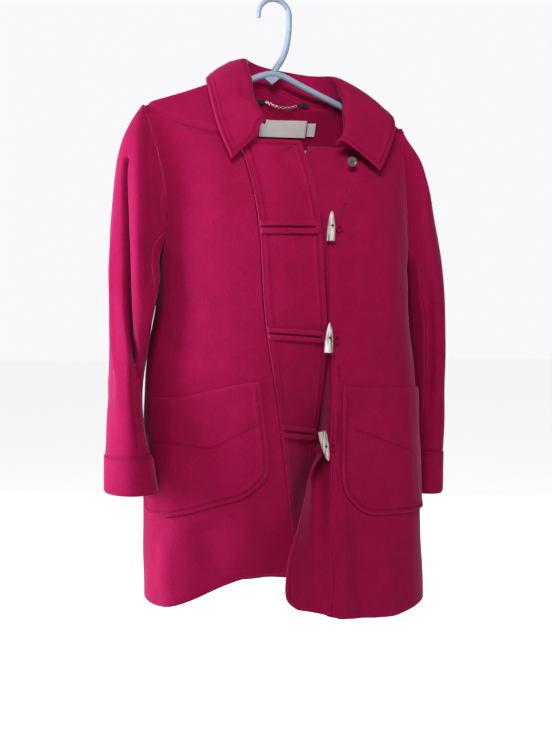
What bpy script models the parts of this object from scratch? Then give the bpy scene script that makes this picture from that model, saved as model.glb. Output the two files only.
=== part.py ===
"""A knee-length wool coat with toggles, hanging on a moulded hanger.

The frame: the origin is the inside top of the hanger's hook, +Z is up, the coat's front faces -Y and
the wearer's right is at -X. Sizes are in millimetres and turned to metres when a mesh is made.
A height is written as "down", the distance below the origin, so z = -down.

The body is a stack of rounded sections. A point on it is given by an angle (0 at the middle of the
front, 90 at the wearer's left side, 180 at the middle of the back) and by a height. Every panel is a
grid of such points, and shares the points of its seams with the panels beside it.
"""

from collections import namedtuple
from math import acos, asin, atan2, copysign, cos, degrees, exp, pi, radians, sin

import bmesh
import bpy
from mathutils import Matrix, Vector

MM = 0.001

# Cloth
WOOL = 2.6  # one layer of coat wool
WOOL_DOUBLE = 4.0  # two layers sewn together: collar, pockets, straps
SEAM_GAP = 0.3
WIDE_GAP = 1.5  # where a seam turns sharply, its edges stay further apart
GAP_SHARE = 0.62  # of a seam's gap that each of its two edges is drawn in
LAY_GAP = 0.4  # between a panel and what is sewn flat on it

# Heights
HEM_DOWN = 957
UNDERARM_DOWN = 432
SHOULDER_DOWN = 183  # top of the shoulder line at the shoulder point
SHOULDER_REACH = 210  # from the middle to the shoulder point
SHOULDER_SLOPE = 0.394
TILT = 0.035  # the hanger hangs lower at the wearer's left
RIDGE_RADIUS = 9  # the cloth rounds over the hanger's arm

# Body sections
ROUNDNESS = 2.4  # exponent of the section's outline: 2 is an ellipse
FRONT_FALL = 2.0  # how soon the front swells out below the shoulder
BACK_FALL = 2.6

Section = namedtuple("Section", "down half_width shift front back")
SECTIONS = (
    Section(175, 216, 4, 118, 80),
    Section(280, 208, 12, 126, 90),
    Section(400, 205, 15, 130, 100),
    Section(465, 203.5, 15, 132, 102),
    Section(620, 217.5, 15, 135, 105),
    Section(790, 224, 15, 138, 115),
    Section(HEM_DOWN, 227, 18, 145, 125),
)

# The armhole's edge, as an angle from the middle of the front or of the back
Armhole = namedtuple("Armhole", "part angle")
ARMHOLE = (
    Armhole(0.00, 81.5),
    Armhole(0.12, 77),
    Armhole(0.28, 72.5),
    Armhole(0.46, 70),
    Armhole(0.64, 69),
    Armhole(0.80, 70.5),
    Armhole(0.93, 77),
    Armhole(1.00, 90),
)
BACK_YOKE_ROW = 3  # the armhole row where the back yoke ends

# Heights of the rows below the armhole; 638 to 816 is the right pocket, 612 to 806 the left one
ROWS_RIGHT = (470, 520, 578, 638, 684, 733, 784, 816, 866, 912, HEM_DOWN)
ROWS_LEFT = (470, 520, 566, 612, 664, 718, 772, 806, 860, 910, HEM_DOWN)
COLUMNS_RIGHT = (0, 0.06, 0.18, 0.32, 0.46, 0.61, 0.76, 0.88, 0.965, 1)
COLUMNS_LEFT = (0, 0.035, 0.16, 0.31, 0.46, 0.61, 0.76, 0.88, 0.965, 1)
POCKET_COLUMNS = (1, 8)
POCKET_ROWS = (10, 14)  # rows of the whole grid, from the pocket's top to its bottom

# How far the hem's edge drops below its level, across the front
HemDrop = namedtuple("HemDrop", "x drop")
HEM_DROPS = (
    HemDrop(-210, -3),
    HemDrop(-150, -9),
    HemDrop(-50, -8),
    HemDrop(50, 0),
    HemDrop(90, 5),
    HemDrop(150, 6),
    HemDrop(205, -4),
)
HEM_ZONE = (770, 957)

# How the lower right front is carried up, back and across, by height
Warp = namedtuple("Warp", "down lift swing")
RIGHT_WARP = (
    Warp(300, 0, 0),
    Warp(450, 6, 0),
    Warp(620, 30, 0),
    Warp(720, 34, 2),
    Warp(800, 39, 10),
    Warp(880, 44, 24),
    Warp(HEM_DOWN, 50, 42),
)
WARP_FROM, WARP_TO = -200, -45  # across the front, from nothing to the whole warp
PLACKET_SETTLE = 0.16  # share of the lift lost across the placket

# Long soft folds in the body: where each runs, its half width, and its height (a trough is negative)
Fold = namedtuple("Fold", "top_x bottom_x top bottom spread height")
FRONT_FOLDS = (
    Fold(92, 78, 560, 1080, 16, 9),
    Fold(108, 112, 520, 1080, 22, -7),
    Fold(-96, -70, 700, 1100, 24, 8),
    Fold(-135, -128, 560, 1080, 22, -6),
    Fold(-178, -172, 470, 1040, 20, 5),
    Fold(176, 190, 480, 1080, 24, 6),
)
BACK_FOLDS = (
    Fold(-120, -150, 420, 1100, 30, 9),
    Fold(-40, -62, 520, 1100, 26, -8),
    Fold(38, 50, 470, 1100, 30, 8),
    Fold(118, 140, 560, 1100, 28, -7),
)

# The right placket: its seam, and how far it turns in towards its free edge
PLACKET_WIDTH = 96
PLACKET_RISE = 4.5  # the right placket lies this far in front of the left one
Placket = namedtuple("Placket", "down seam turn")
RIGHT_PLACKET = (
    Placket(238, -76, 0),
    Placket(300, -64, 0),
    Placket(380, -56, 1),
    Placket(515, -50, 2),
    Placket(580, -44, 9),
    Placket(650, -34, 27),
    Placket(690, -29, 35),
    Placket(725, -25, 42),
    Placket(800, -15, 50),
    Placket(853, -8, 54),
    Placket(HEM_DOWN + 8, 6, 56),
)
RIGHT_TOP_DOWN = 238

# The left placket lies behind the right one, and comes out in front of it below the lowest toggle.
# It leaves its seam at the angle "leg", and after "fold" millimetres it turns to the angle "flap".
# 0 points to the wearer's right, 90 points back into the coat, 270 points forward.
Underlap = namedtuple("Underlap", "down seam dip leg fold bend flap reach rise")
LEFT_PLACKET = (
    Underlap(238, 138, 0, 14, 22, 10, 0, 96, 0),
    Underlap(310, 101, 0, 12, 22, 10, 0, 95, 0),
    Underlap(352, 70, 0, 8, 22, 10, 0, 95, 0),
    Underlap(391, 60, 0, 26, 22, 9, 2, 95, 0),
    Underlap(518, 58, 2, 66, 20, 8, 0, 95, 0),
    Underlap(560, 60, 4, 82, 30, 9, -8, 95, 0),
    Underlap(600, 62, 6, 86, 44, 10, -14, 95, 0),
    Underlap(650, 62, 11, 89, 66, 9, -22, 93, 0),
    Underlap(680, 61, 15, 90, 73, 7, -30, 91, 0),
    Underlap(690, 60, 16, 90, 75, 6, -50, 90, 0),
    Underlap(697, 60, 16, 90, 77, 4.5, -90, 90, 0),
    Underlap(706, 60, 16, 90, 68, 4.5, -90, 90, 0),
    Underlap(716, 60, 16, 90, 50, 4.5, -90, 89, 0),
    Underlap(726, 60, 14, 86, 44, 7, -78, 88, 0),
    Underlap(740, 60, 12, 80, 42, 10, -70, 87, 0),
    Underlap(772, 59, 8, 68, 34, 12, -61, 86, 1),
    Underlap(807, 57, 5, 58, 30, 12, -55, 89, 3),
    Underlap(864, 54, 2, 36, 28, 12, -40, 90, 9),
    Underlap(905, 53, 0, 26, 26, 12, -30, 87, 16),
    Underlap(HEM_DOWN, 53, 0, 20, 26, 12, -22, 84, 25),
)
LEFT_TOP_DOWN = 238
FLAP_TURN = 10  # the left placket turns back over this length beside its seam
FLAP_STRIDE = 1.5  # length of the small steps that walk along the left placket's bend
FLAP_CORNER = 26  # radius of the left placket's lower corner
PLACKET_COLUMNS = (0, 0.12, 0.34, 0.56, 0.78, 1)

# Yoke
YOKE_BOW = 0.92  # below 1, the front yoke seam bows up between the neck and the shoulder point
YOKE_ROWS = 4
NECK_RIGHT = (-76, -71, -68)  # x of the yoke's edge at the neck, from the front to the shoulder line
NECK_LEFT = (138, 124, 114)
BACK_NECK_X = (-36, -4, 28, 60, 88)
BACK_NECK_DROP = (3, 9, 11, 10, 4)

# Collar: for each section round the neck, its seam, its roll and its outer edge
Leaf = namedtuple("Leaf", "neck roll edge arch")
COLLAR = (
    Leaf((-27, -85, -230), (-28, -90, -226), (-92, -98, -274), 2),
    Leaf((-43, -82, -216), (-39, -86, -208), (-100, -90, -252), 4),
    Leaf((-53, -71, -197), (-47, -68, -184), (-107, -74, -224), 6),
    Leaf((-58, -53, -175), (-48, -47, -157), (-111, -55, -192), 8),
    Leaf((-60, -28, -147), (-48, -25, -126), (-112, -33, -160), 9),
    Leaf((-60, 2, -118), (-47, 2, -100), (-110, 2, -130), 10),
    Leaf((-46, 22, -127), (-32, 28, -98), (-86, 42, -140), 10),
    Leaf((-12, 31, -142), (-6, 38, -102), (-30, 62, -166), 7),
    Leaf((28, 34, -146), (28, 41, -107), (28, 68, -176), 6),
    Leaf((66, 32, -148), (62, 39, -112), (84, 62, -180), 7),
    Leaf((94, 22, -146), (86, 30, -115), (142, 46, -172), 10),
    Leaf((106, 2, -138), (104, 4, -119), (190, 6, -171), 12),
    Leaf((107, -26, -162), (105, -24, -146), (194, -24, -187), 10),
    Leaf((104, -50, -192), (105, -47, -176), (189, -44, -212), 8),
    Leaf((99, -69, -217), (103, -68, -203), (176, -58, -236), 6),
    Leaf((90, -80, -236), (94, -80, -226), (163, -73, -260), 4),
    Leaf((79, -85, -244), (80, -90, -240), (148, -85, -280), 2),
)
COLLAR_STAND_STEPS = 2
COLLAR_FALL_STEPS = 5
COLLAR_ROLL = 5.0  # radius of the collar's roll

# Sleeves: rings from the armhole to the cuff, as seen on each side
Ring = namedtuple("Ring", "x y down half_out half_deep turn")
SLEEVE_RIGHT = (
    Ring(-215, -2, 331, 115, 72, 79),
    Ring(-224, -4, 366, 98, 74, 73),
    Ring(-227, -6, 410, 77, 75, 65),
    Ring(-230, -8, 450, 60, 75, 56),
    Ring(-233, -13, 495, 42, 75, 36),
    Ring(-237, -22, 560, 28, 74, 0),
    Ring(-244, -42, 640, 25, 72, 0),
    Ring(-242, -70, 711, 35, 66, 0),
    Ring(-241, -92, 766, 40, 60, 0),
)
SLEEVE_LEFT = (
    Ring(228, -2, 338, 112, 72, 86),
    Ring(238, -1, 376, 92, 74, 80),
    Ring(244, 2, 414, 75, 75, 73),
    Ring(253, 6, 453, 58, 75, 64),
    Ring(260, 12, 498, 38, 75, 45),
    Ring(266, 22, 570, 28, 73, 0),
    Ring(270, 32, 650, 28, 70, 0),
    Ring(272, 44, 729, 31, 66, 0),
    Ring(272, 50, 802, 32, 62, 0),
)
CUFF_RINGS = 2  # the last rings belong to the cuff
FRONT_SEAM_DEGREES = 125  # the sleeve's two seams, round from its outer side
BACK_SEAM_DEGREES = 238
CUFF_RAISE = 1.2
CUFF_START = 0.016  # gap between the sleeve and the cuff, as a share of the cuff's length

# A long trough down the front of the right sleeve: ring, angle, spread and depth
Trough = namedtuple("Trough", "ring angle spread depth")
SLEEVE_TROUGH = (
    Trough(0, 62, 20, 3),
    Trough(2, 52, 20, 9),
    Trough(4, 56, 22, 10),
    Trough(6, 92, 24, 9),
    Trough(7, 140, 26, 6),
    Trough(9, 150, 26, 1),
)

# Toggles and the straps that lead to them
Toggle = namedtuple("Toggle", "down strap_left strap_right x y lean upside_down")
TOGGLES = (
    Toggle(373, 382, 377, 53.5, -134, 3, False),
    Toggle(541, 558, 557, 47.5, -142, 3, False),
    Toggle(704, 714, 717, 44, -133, -13, True),
)
TOGGLE_LENGTH = 46
TOGGLE_RADIUS = 6.4
TOGGLE_HOLE = 3.6  # diameter
STRAP_WIDTH = 10.5
STRAP_APART = 12.0  # between the middles of a strap's two runs
STRAP_THICK = 3.0
STRAP_OFF = 1.4
STRAP_REACH = 0.985  # end of the strap, as a share of the placket's width
STRAP_STEPS = 6
LOOP_RADIUS = 5.2
LOOP_THICK = 1.6
LOOP_X = 15  # from the toggle's middle to the loop's middle
LOOP_OFF = 2.4

# Neck button, labels and hang chain
BUTTON = Vector((101, -93, -268))
BUTTON_RADIUS = 7.8
BUTTON_THICK = 2.6
LABEL_X = (-13, 64)
LABEL_DOWN = (183, 209)
SIZE_TAB_X = (65.5, 79)
SIZE_TAB_DOWN = (187, 207)
LABEL_THICK = 0.8
LABEL_OFF = 3.2  # the labels hang a little clear of the back's inside
CHAIN_X = (-8, 48)
CHAIN_DOWN = (157, 160)
CHAIN_SAG = 7
CHAIN_RADIUS = 1.3
CHAIN_TAB = (15, 6, 1.4)

# Hanger
HOOK_INSIDE = 21.5
HOOK_WIRE = 4.0
HANGER_TUBE = 5.2
HOOK_END_DEGREES = 192
STEM = ((25.5, -27), (25.0, -42), (23.0, -60), (19.0, -78), (12.0, -94), (4.0, -106))
ARM_DROP = 13.5  # of the tube's middle below the shoulder line
ARM_REACH = 180
END_RADIUS = 29
GUSSET = ((-24, -119), (16, -118), (-4, -134))
GUSSET_THICK = 5


def read(rows, name, at):
    """Returns one column of a table at a place between its rows, on a smooth curve that never overshoots."""
    keys = [row[0] for row in rows]
    values = [getattr(row, name) for row in rows]
    if at <= keys[0]:
        return values[0]
    if at >= keys[-1]:
        return values[-1]
    i = max(k for k in range(len(keys) - 1) if keys[k] <= at)
    slopes = [(values[k + 1] - values[k]) / (keys[k + 1] - keys[k]) for k in range(len(keys) - 1)]

    def tangent(k):
        if k == 0 or k == len(keys) - 1:
            return slopes[0] if k == 0 else slopes[-1]
        before, after = slopes[k - 1], slopes[k]
        return 0 if before * after <= 0 else 2 * before * after / (before + after)

    span = keys[i + 1] - keys[i]
    t = (at - keys[i]) / span
    low = values[i] * (1 + 2 * t) * (1 - t) ** 2 + tangent(i) * span * t * (1 - t) ** 2
    return low + values[i + 1] * t * t * (3 - 2 * t) - tangent(i + 1) * span * t * t * (1 - t)


def ease(low, high, value):
    """Returns 0 below low, 1 above high and a smooth step between."""
    t = min(max((value - low) / (high - low), 0), 1)
    return t * t * (3 - 2 * t)


def mix(low, high, t):
    return low + (high - low) * t


# ---------------------------------------------------------------- the body's form


def ridge_down(x):
    """Height of the shoulder line above x."""
    return SHOULDER_DOWN - SHOULDER_SLOPE * (SHOULDER_REACH - abs(x)) + TILT * x


def fold_height(folds, x, down):
    """How far the folds move the cloth out at this place."""
    total = 0
    for fold in folds:
        along = (down - fold.top) / (fold.bottom - fold.top)
        if 0 < along < 1:
            middle = mix(fold.top_x, fold.bottom_x, along)
            total += fold.height * sin(pi * along) ** 0.8 * exp(-(((x - middle) / fold.spread) ** 2))
    return total


def angle_of(x, down):
    """The angle on the front whose point lies at x."""
    share = (x - read(SECTIONS, "shift", down)) / read(SECTIONS, "half_width", down)
    return copysign(degrees(asin(min(abs(share), 1) ** (ROUNDNESS / 2))), share)


def body(angle, down):
    """A point on the outside of the body, for an angle of -90 to 90 in front and 90 to 270 behind."""
    turn = radians(angle)
    behind = cos(turn) < -1e-9
    across = copysign(abs(sin(turn)) ** (2 / ROUNDNESS), sin(turn))
    deep = abs(cos(turn)) ** (2 / ROUNDNESS)
    half_width = read(SECTIONS, "half_width", down)
    depth = read(SECTIONS, "back" if behind else "front", down)
    x = read(SECTIONS, "shift", down) + half_width * across
    start = ridge_down(x) + RIDGE_RADIUS
    swell = 1.0
    if down < UNDERARM_DOWN:
        below = max((down - start) / (UNDERARM_DOWN - start), 0)
        swell = 1 - (1 - below) ** (BACK_FALL if behind else FRONT_FALL)
    y = RIDGE_RADIUS * (1 - swell) + depth * deep * swell
    out = fold_height(BACK_FOLDS if behind else FRONT_FOLDS, x, down)
    normal = Vector((across / half_width, deep / depth * (1 if behind else -1), 0)).normalized()
    lean = TILT * x * ease(200, UNDERARM_DOWN, down)
    if not behind:
        lean += read(HEM_DROPS, "drop", x) * ease(*HEM_ZONE, down)
    return Vector((x, y if behind else -y, -down - lean)) + normal * out


def right_warp(point, share=1.0, settle=1.0):
    """Carries a point of the right front up and back, as its lower edge hangs."""
    down = -point.z
    lift = read(RIGHT_WARP, "lift", down) * share * settle
    swing = read(RIGHT_WARP, "swing", down) * share
    return point + Vector((0, swing, lift))


def right_front(x, down):
    point = body(angle_of(x, down), down)
    return right_warp(point, ease(WARP_FROM, WARP_TO, point.x))


def left_dip(x, down):
    """The left front sinks a little towards its seam by the lowest toggle."""
    seam = read(LEFT_PLACKET, "seam", down)
    return read(LEFT_PLACKET, "dip", down) * (1 - ease(seam, seam + 60, x))


def left_front(x, down):
    return body(angle_of(x, down), down) + Vector((0, left_dip(x, down), 0))


def right_placket(across, down):
    """A point on the right placket, across = 0 at its seam and 1 at its free edge."""
    seam = read(RIGHT_PLACKET, "seam", down)
    turn = radians(read(RIGHT_PLACKET, "turn", down))
    reach = PLACKET_WIDTH * across
    x = seam + reach * cos(turn)
    base = body(angle_of(seam + reach, down), down)
    back = reach * sin(turn) - PLACKET_RISE * ease(0, 0.35, across)
    return right_warp(Vector((x, base.y + back, base.z)), 1, 1 - PLACKET_SETTLE * across)


def left_placket(reach, down):
    """A point on the left placket, reach millimetres from its seam."""
    row = {name: read(LEFT_PLACKET, name, down) for name in Underlap._fields[1:]}
    point = left_front(row["seam"], down)
    gone = 0.0
    while gone < reach - 1e-6:
        length = min(FLAP_STRIDE, reach - gone)
        middle = gone + length / 2
        turn = row["leg"] * ease(0, FLAP_TURN, middle)
        bent = ease(row["fold"] - row["bend"], row["fold"] + row["bend"], middle)
        turn = radians(mix(turn, row["flap"], bent))
        point += Vector((-cos(turn), sin(turn), 0)) * length
        gone += length
    return point + Vector((0, 0, row["rise"] * reach / PLACKET_WIDTH))


# ---------------------------------------------------------------- sheets of cloth


class Sheet:
    """A piece of cloth as its outer face: points in millimetres and faces that look outwards."""

    def __init__(self, name, thickness, material, raised=0.0, layer="body", gap=SEAM_GAP):
        self.name = name
        self.thickness = thickness
        self.material = material
        self.raised = raised
        self.layer = layer
        self.gap = gap
        self.points = []
        self.faces = []
        self.index = {}

    def vertex(self, point):
        key = place(point)
        if key not in self.index:
            self.index[key] = len(self.points)
            self.points.append(Vector(point))
        return self.index[key]

    def face(self, points):
        corners = []
        for point in points:
            corner = self.vertex(point)
            if corner not in corners:
                corners.append(corner)
        if len(corners) > 2:
            self.faces.append(corners)

    def grid(self, rows, skip=()):
        """Adds the triangles of a grid whose rows go down and whose columns go round to the left."""
        for r, (upper, lower) in enumerate(zip(rows, rows[1:])):
            for c in range(len(upper) - 1):
                if (r, c) not in skip:
                    self.face((upper[c], lower[c], lower[c + 1]))
                    self.face((upper[c], lower[c + 1], upper[c + 1]))


def place(point):
    return tuple(round(value, 2) for value in point)


def face_normal(sheet, face):
    """Area normal of a face, whose length is twice its area."""
    points = [sheet.points[i] for i in face]
    total = Vector((0, 0, 0))
    for a, b in zip(points[1:], points[2:]):
        total += (a - points[0]).cross(b - points[0])
    return total


def shared_normals(sheets):
    """One outward direction for each place, shared by all the sheets of a layer that meet there."""
    normals = {}
    for sheet in sheets:
        for face in sheet.faces:
            normal = face_normal(sheet, face).normalized()
            for i in face:
                key = (sheet.layer, place(sheet.points[i]))
                normals[key] = normals.get(key, Vector((0, 0, 0))) + normal
    return {key: total.normalized() for key, total in normals.items()}


def border(sheet):
    """The directed edges that only one face has."""
    edges = {}
    for face in sheet.faces:
        for a, b in zip(face, face[1:] + face[:1]):
            edges[(a, b)] = True
    return [edge for edge in edges if (edge[1], edge[0]) not in edges]


def drawn_in(sheet, edge_points):
    """The points, with those of the border moved in by half a seam's gap."""
    centres = {}
    for face in sheet.faces:
        centre = sum((sheet.points[i] for i in face), Vector((0, 0, 0))) / len(face)
        for i in face:
            centres.setdefault(i, []).append(centre)
    sides = {}
    for a, b in edge_points:
        along = (sheet.points[b] - sheet.points[a]).normalized()
        for i in (a, b):
            sides.setdefault(i, []).append(along)
    points = [point.copy() for point in sheet.points]
    for i, alongs in sides.items():
        middle = sum(centres[i], Vector((0, 0, 0))) / len(centres[i])
        inward = middle - sheet.points[i]
        move = Vector((0, 0, 0))
        for along in alongs:
            away = inward - along * inward.dot(along)
            if away.length > 1e-6:
                move += away.normalized()
        points[i] += move.normalized() * sheet.gap * GAP_SHARE if move.length > 1e-6 else move
    return points


def make_cloth(sheets):
    """Gives each sheet its thickness and makes it an object."""
    normals = shared_normals(sheets)
    for sheet in sheets:
        edges = border(sheet)
        points = drawn_in(sheet, edges)
        outward = [normals[(sheet.layer, place(point))] for point in sheet.points]
        count = len(points)
        outer = [p + n * sheet.raised for p, n in zip(points, outward)]
        inner = [p - n * sheet.thickness for p, n in zip(outer, outward)]
        faces = [list(face) for face in sheet.faces]
        faces += [[i + count for i in reversed(face)] for face in sheet.faces]
        faces += [[b, a, a + count, b + count] for a, b in edges]
        make_object(sheet.name, outer + inner, faces, sheet.material)


def make_object(name, points, faces, material, sharp=50):
    """Makes a mesh object from points in millimetres."""
    mesh = bpy.data.meshes.new(name)
    mesh.from_pydata([point * MM for point in points], [], faces)
    mesh.update()
    mesh.shade_smooth()
    mesh.set_sharp_from_angle(angle=radians(sharp))
    mesh.materials.append(material)
    obj = bpy.data.objects.new(name, mesh)
    bpy.context.scene.collection.objects.link(obj)
    return obj


# ---------------------------------------------------------------- panels


def armhole_angle(part):
    return read(ARMHOLE, "angle", part)


def side_start(side):
    """Height where the front begins at the shoulder point of this side, -1 for the right."""
    return ridge_down(side * SHOULDER_REACH) + RIDGE_RADIUS


def armhole_point(side, part, behind=False):
    """A point of the armhole's edge, part = 0 at the shoulder and 1 at the underarm."""
    down = mix(side_start(side), UNDERARM_DOWN, part)
    angle = armhole_angle(part)
    if behind:
        return body(180 - side * angle, down)
    return front_point(side, body(side * angle, down))


def front_point(side, point):
    if side < 0:
        return right_warp(point, ease(WARP_FROM, WARP_TO, point.x))
    return point + Vector((0, left_dip(point.x, -point.z), 0))


def yoke_seam_down(side, across, top):
    """Height of the front yoke seam, across = 0 at the placket and 1 at the shoulder point."""
    return mix(top, side_start(side), across**YOKE_BOW)


def front_rows(side):
    """The grid of a front panel, its columns going from the placket to the side."""
    top = RIGHT_TOP_DOWN if side < 0 else LEFT_TOP_DOWN
    table = RIGHT_PLACKET if side < 0 else LEFT_PLACKET
    columns = COLUMNS_RIGHT if side < 0 else COLUMNS_LEFT
    rows = []
    for part in (row.part for row in ARMHOLE):
        line = []
        for across in columns:
            down = mix(yoke_seam_down(side, across, top), UNDERARM_DOWN, part)
            line.append((across, down, armhole_angle(part)))
        rows.append(line)
    for down in ROWS_RIGHT if side < 0 else ROWS_LEFT:
        rows.append([(across, down, 90) for across in columns])
    grid = []
    for line in rows:
        points = []
        for across, down, edge in line:
            seam = angle_of(read(table, "seam", down), down)
            points.append(front_point(side, body(mix(seam, side * edge, across), down)))
        grid.append(points)
    return grid


def front_panel(side, name, wool):
    rows = front_rows(side)
    sheet = Sheet(name, WOOL, wool)
    sheet.grid([row[::-1] for row in rows] if side < 0 else rows)
    return sheet


def pocket(side, name, wool):
    """A patch of the front's own cells, moved out, with its lower corners cut off."""
    rows = front_rows(side)[POCKET_ROWS[0] + 1 : POCKET_ROWS[1] + 2]
    first, last = POCKET_COLUMNS
    rows = [row[first : last + 1] for row in rows]
    sheet = Sheet(name, WOOL_DOUBLE, wool, LAY_GAP + WOOL_DOUBLE, layer="body")
    count = len(rows[0]) - 1
    corners = ((len(rows) - 2, 0), (len(rows) - 2, count - 1))
    order = -1 if side < 0 else 1
    skip = [(r, c) if side > 0 else (r, count - 1 - c) for r, c in corners]
    sheet.grid([row[::order] for row in rows], skip)
    upper, lower = rows[-2], rows[-1]
    for a, b in ((0, 1), (count, count - 1)):
        corner = (upper[a], lower[b], upper[b])
        sheet.face(corner if (a == 0) == (side > 0) else corner[::-1])
    return sheet


def right_placket_panel(wool):
    """The right placket, whose seam has the points of the right front's edge."""
    rows = []
    downs = [mix(RIGHT_TOP_DOWN, UNDERARM_DOWN, row.part) for row in ARMHOLE]
    downs += list(ROWS_RIGHT)
    for down in downs:
        row = [right_placket(across, down) for across in PLACKET_COLUMNS]
        row[0] = right_front(read(RIGHT_PLACKET, "seam", down), down)
        rows.append(row)
    sheet = Sheet("placket_right", WOOL, wool)
    sheet.grid(rows)
    return sheet


def left_placket_panel(wool):
    """The left placket, bent as it hangs, with its lower corner rounded."""
    downs = [mix(LEFT_TOP_DOWN, UNDERARM_DOWN, row.part) for row in ARMHOLE]
    downs += [470, 520, 566, 612, 640, 664, 680, 690, 697, 706, 716, 726, 740, 757, 772, 789, 806]
    downs += [833, 860, 885, 910, HEM_DOWN - 26, HEM_DOWN - 10, HEM_DOWN]
    rows = []
    for down in downs:
        reach = read(LEFT_PLACKET, "reach", down)
        left_over = max(down - (HEM_DOWN - FLAP_CORNER), 0)
        reach -= FLAP_CORNER - (FLAP_CORNER**2 - left_over**2) ** 0.5
        rows.append([left_placket(at, down) for at in flap_columns(reach, down)])
    front = front_rows(1)
    seam = {place(row[0]) for row in front}
    for row in rows:
        if place(row[-1]) not in seam:
            row[-1] = on_edge([line[0] for line in front], row[-1])
    sheet = Sheet("placket_left", WOOL, wool, gap=WIDE_GAP)
    sheet.grid(rows)
    return sheet


def flap_columns(reach, down):
    """Places across the left placket, from its free edge to its seam, three of them at its fold."""
    fold, bend = read(LEFT_PLACKET, "fold", down), read(LEFT_PLACKET, "bend", down)
    leg = fold - bend
    near = [0, min(leg * 0.35, FLAP_TURN * 0.45), min(leg * 0.7, FLAP_TURN * 1.1), leg, fold, fold + bend]
    return [mix(fold + bend, reach, share) for share in (1, 0.66, 0.33)] + near[::-1]


def on_edge(line, point):
    """The point of a falling edge at the height of another point."""
    for a, b in zip(line, line[1:]):
        if a.z >= point.z >= b.z and a.z > b.z:
            return a.lerp(b, (a.z - point.z) / (a.z - b.z))
    return point


def back_panel(wool):
    """The back, from the yoke seam to the hem."""
    parts = [row.part for row in ARMHOLE][BACK_YOKE_ROW:]
    rows = [back_row(part) for part in parts]
    rows += [[body(180 + 90 * t, down) for t in back_columns()] for down in side_rows()]
    sheet = Sheet("back", WOOL, wool)
    sheet.grid(rows)
    for side, index in ((1, 0), (-1, -1)):
        front = front_rows(side)[len(ARMHOLE) - 1 :]
        lower = [row[index] for row in rows[len(parts) - 1 :]]
        match_edge(sheet, lower, [row[-1] for row in front])
    return sheet


def side_rows():
    """Heights of the back's rows, where the two fronts' rows differ: their middle."""
    return [(a + b) / 2 for a, b in zip(ROWS_RIGHT, ROWS_LEFT)]


def match_edge(sheet, own, other):
    """Moves the points of one edge onto those of the edge that it is sewn to."""
    for a, b in zip(own, other):
        i = sheet.index.pop(place(a))
        sheet.index[place(b)] = i
        sheet.points[i] = b.copy()


def back_columns():
    """Places round the back, from -1 at the wearer's left to 1 at the right."""
    return tuple(-t for t in reversed(back_half())) + back_half()[1:]


def back_half():
    return (0, 0.16, 0.32, 0.5, 0.66, 0.82, 0.94, 1)


def back_row(part):
    """A row of points across the back at one part of the armhole's height."""
    row = []
    for t in back_columns():
        left, right = side_start(1), side_start(-1)
        start = mix(left, right, (t + 1) / 2)
        row.append(body(180 + armhole_angle(part) * t, mix(start, UNDERARM_DOWN, part)))
    return row


def neck_line(xs, t):
    """How far out the yoke's edge at the neck is, t = 0 at the front and 1 at the shoulder line."""
    if t < 0.5:
        return mix(xs[0], xs[1], t * 2)
    return mix(xs[1], xs[2], t * 2 - 1)


def yoke_wing(side):
    """Rows of the yoke's front part, from its seam up to the shoulder line and over it."""
    seam_row = front_rows(side)[0]
    rows = [seam_row]
    for r in range(1, YOKE_ROWS + 1):
        t = r / YOKE_ROWS
        neck_x = neck_line(NECK_RIGHT if side < 0 else NECK_LEFT, t)
        row = []
        for across, low in zip(COLUMNS_RIGHT if side < 0 else COLUMNS_LEFT, seam_row):
            x = mix(neck_x, side * SHOULDER_REACH, across)
            start = ridge_down(x) + RIDGE_RADIUS
            high_x = mix(low.x, x, t)
            down = mix(-low.z, start, t)
            if across == 1:
                row.append(seam_row[-1].copy())
                continue
            row.append(front_point(side, body(angle_of(high_x, down), down)))
        rows.append(row)
    return rows


def yoke(wool):
    """One piece over both shoulders and across the back."""
    sheet = Sheet("yoke", WOOL, wool)
    caps = {}
    for side in (-1, 1):
        rows = yoke_wing(side)
        edge = rows[-1]
        cap = [Vector((p.x, 0, p.z + RIDGE_RADIUS)) for p in edge]
        over = [Vector((p.x, -p.y, p.z)) for p in edge]
        caps[side] = over
        rows = [over, cap] + rows[::-1]
        sheet.grid([row[::-1] for row in rows] if side < 0 else rows)
    neck = []
    for x, drop in zip(BACK_NECK_X, BACK_NECK_DROP):
        down = ridge_down(x) + RIDGE_RADIUS + drop + 12
        neck.append(body(180 - angle_of(x, down), down))
    top = caps[1][::-1] + neck[::-1] + caps[-1]
    rows = [top]
    count = len(top) - 1
    parts = [row.part for row in ARMHOLE][1 : BACK_YOKE_ROW + 1]
    lowest = back_row(parts[-1])
    for part in parts:
        row = []
        for c, high in enumerate(top):
            t = c / count
            low = along_row(lowest, t)
            if part == parts[-1]:
                row.append(low)
                continue
            share = part / parts[-1]
            down = mix(-high.z, -low.z, share)
            x = mix(high.x, low.x, share)
            row.append(body(180 - angle_of(x, down), down))
        row[0] = armhole_point(1, part, behind=True)
        row[-1] = armhole_point(-1, part, behind=True)
        rows.append(row)
    sheet.grid(rows)
    return sheet


def along_row(row, t):
    """The point at a share t of a row's columns."""
    place_in = t * (len(row) - 1)
    i = min(int(place_in), len(row) - 2)
    return row[i].lerp(row[i + 1], place_in - i)


# ---------------------------------------------------------------- sleeves


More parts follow.
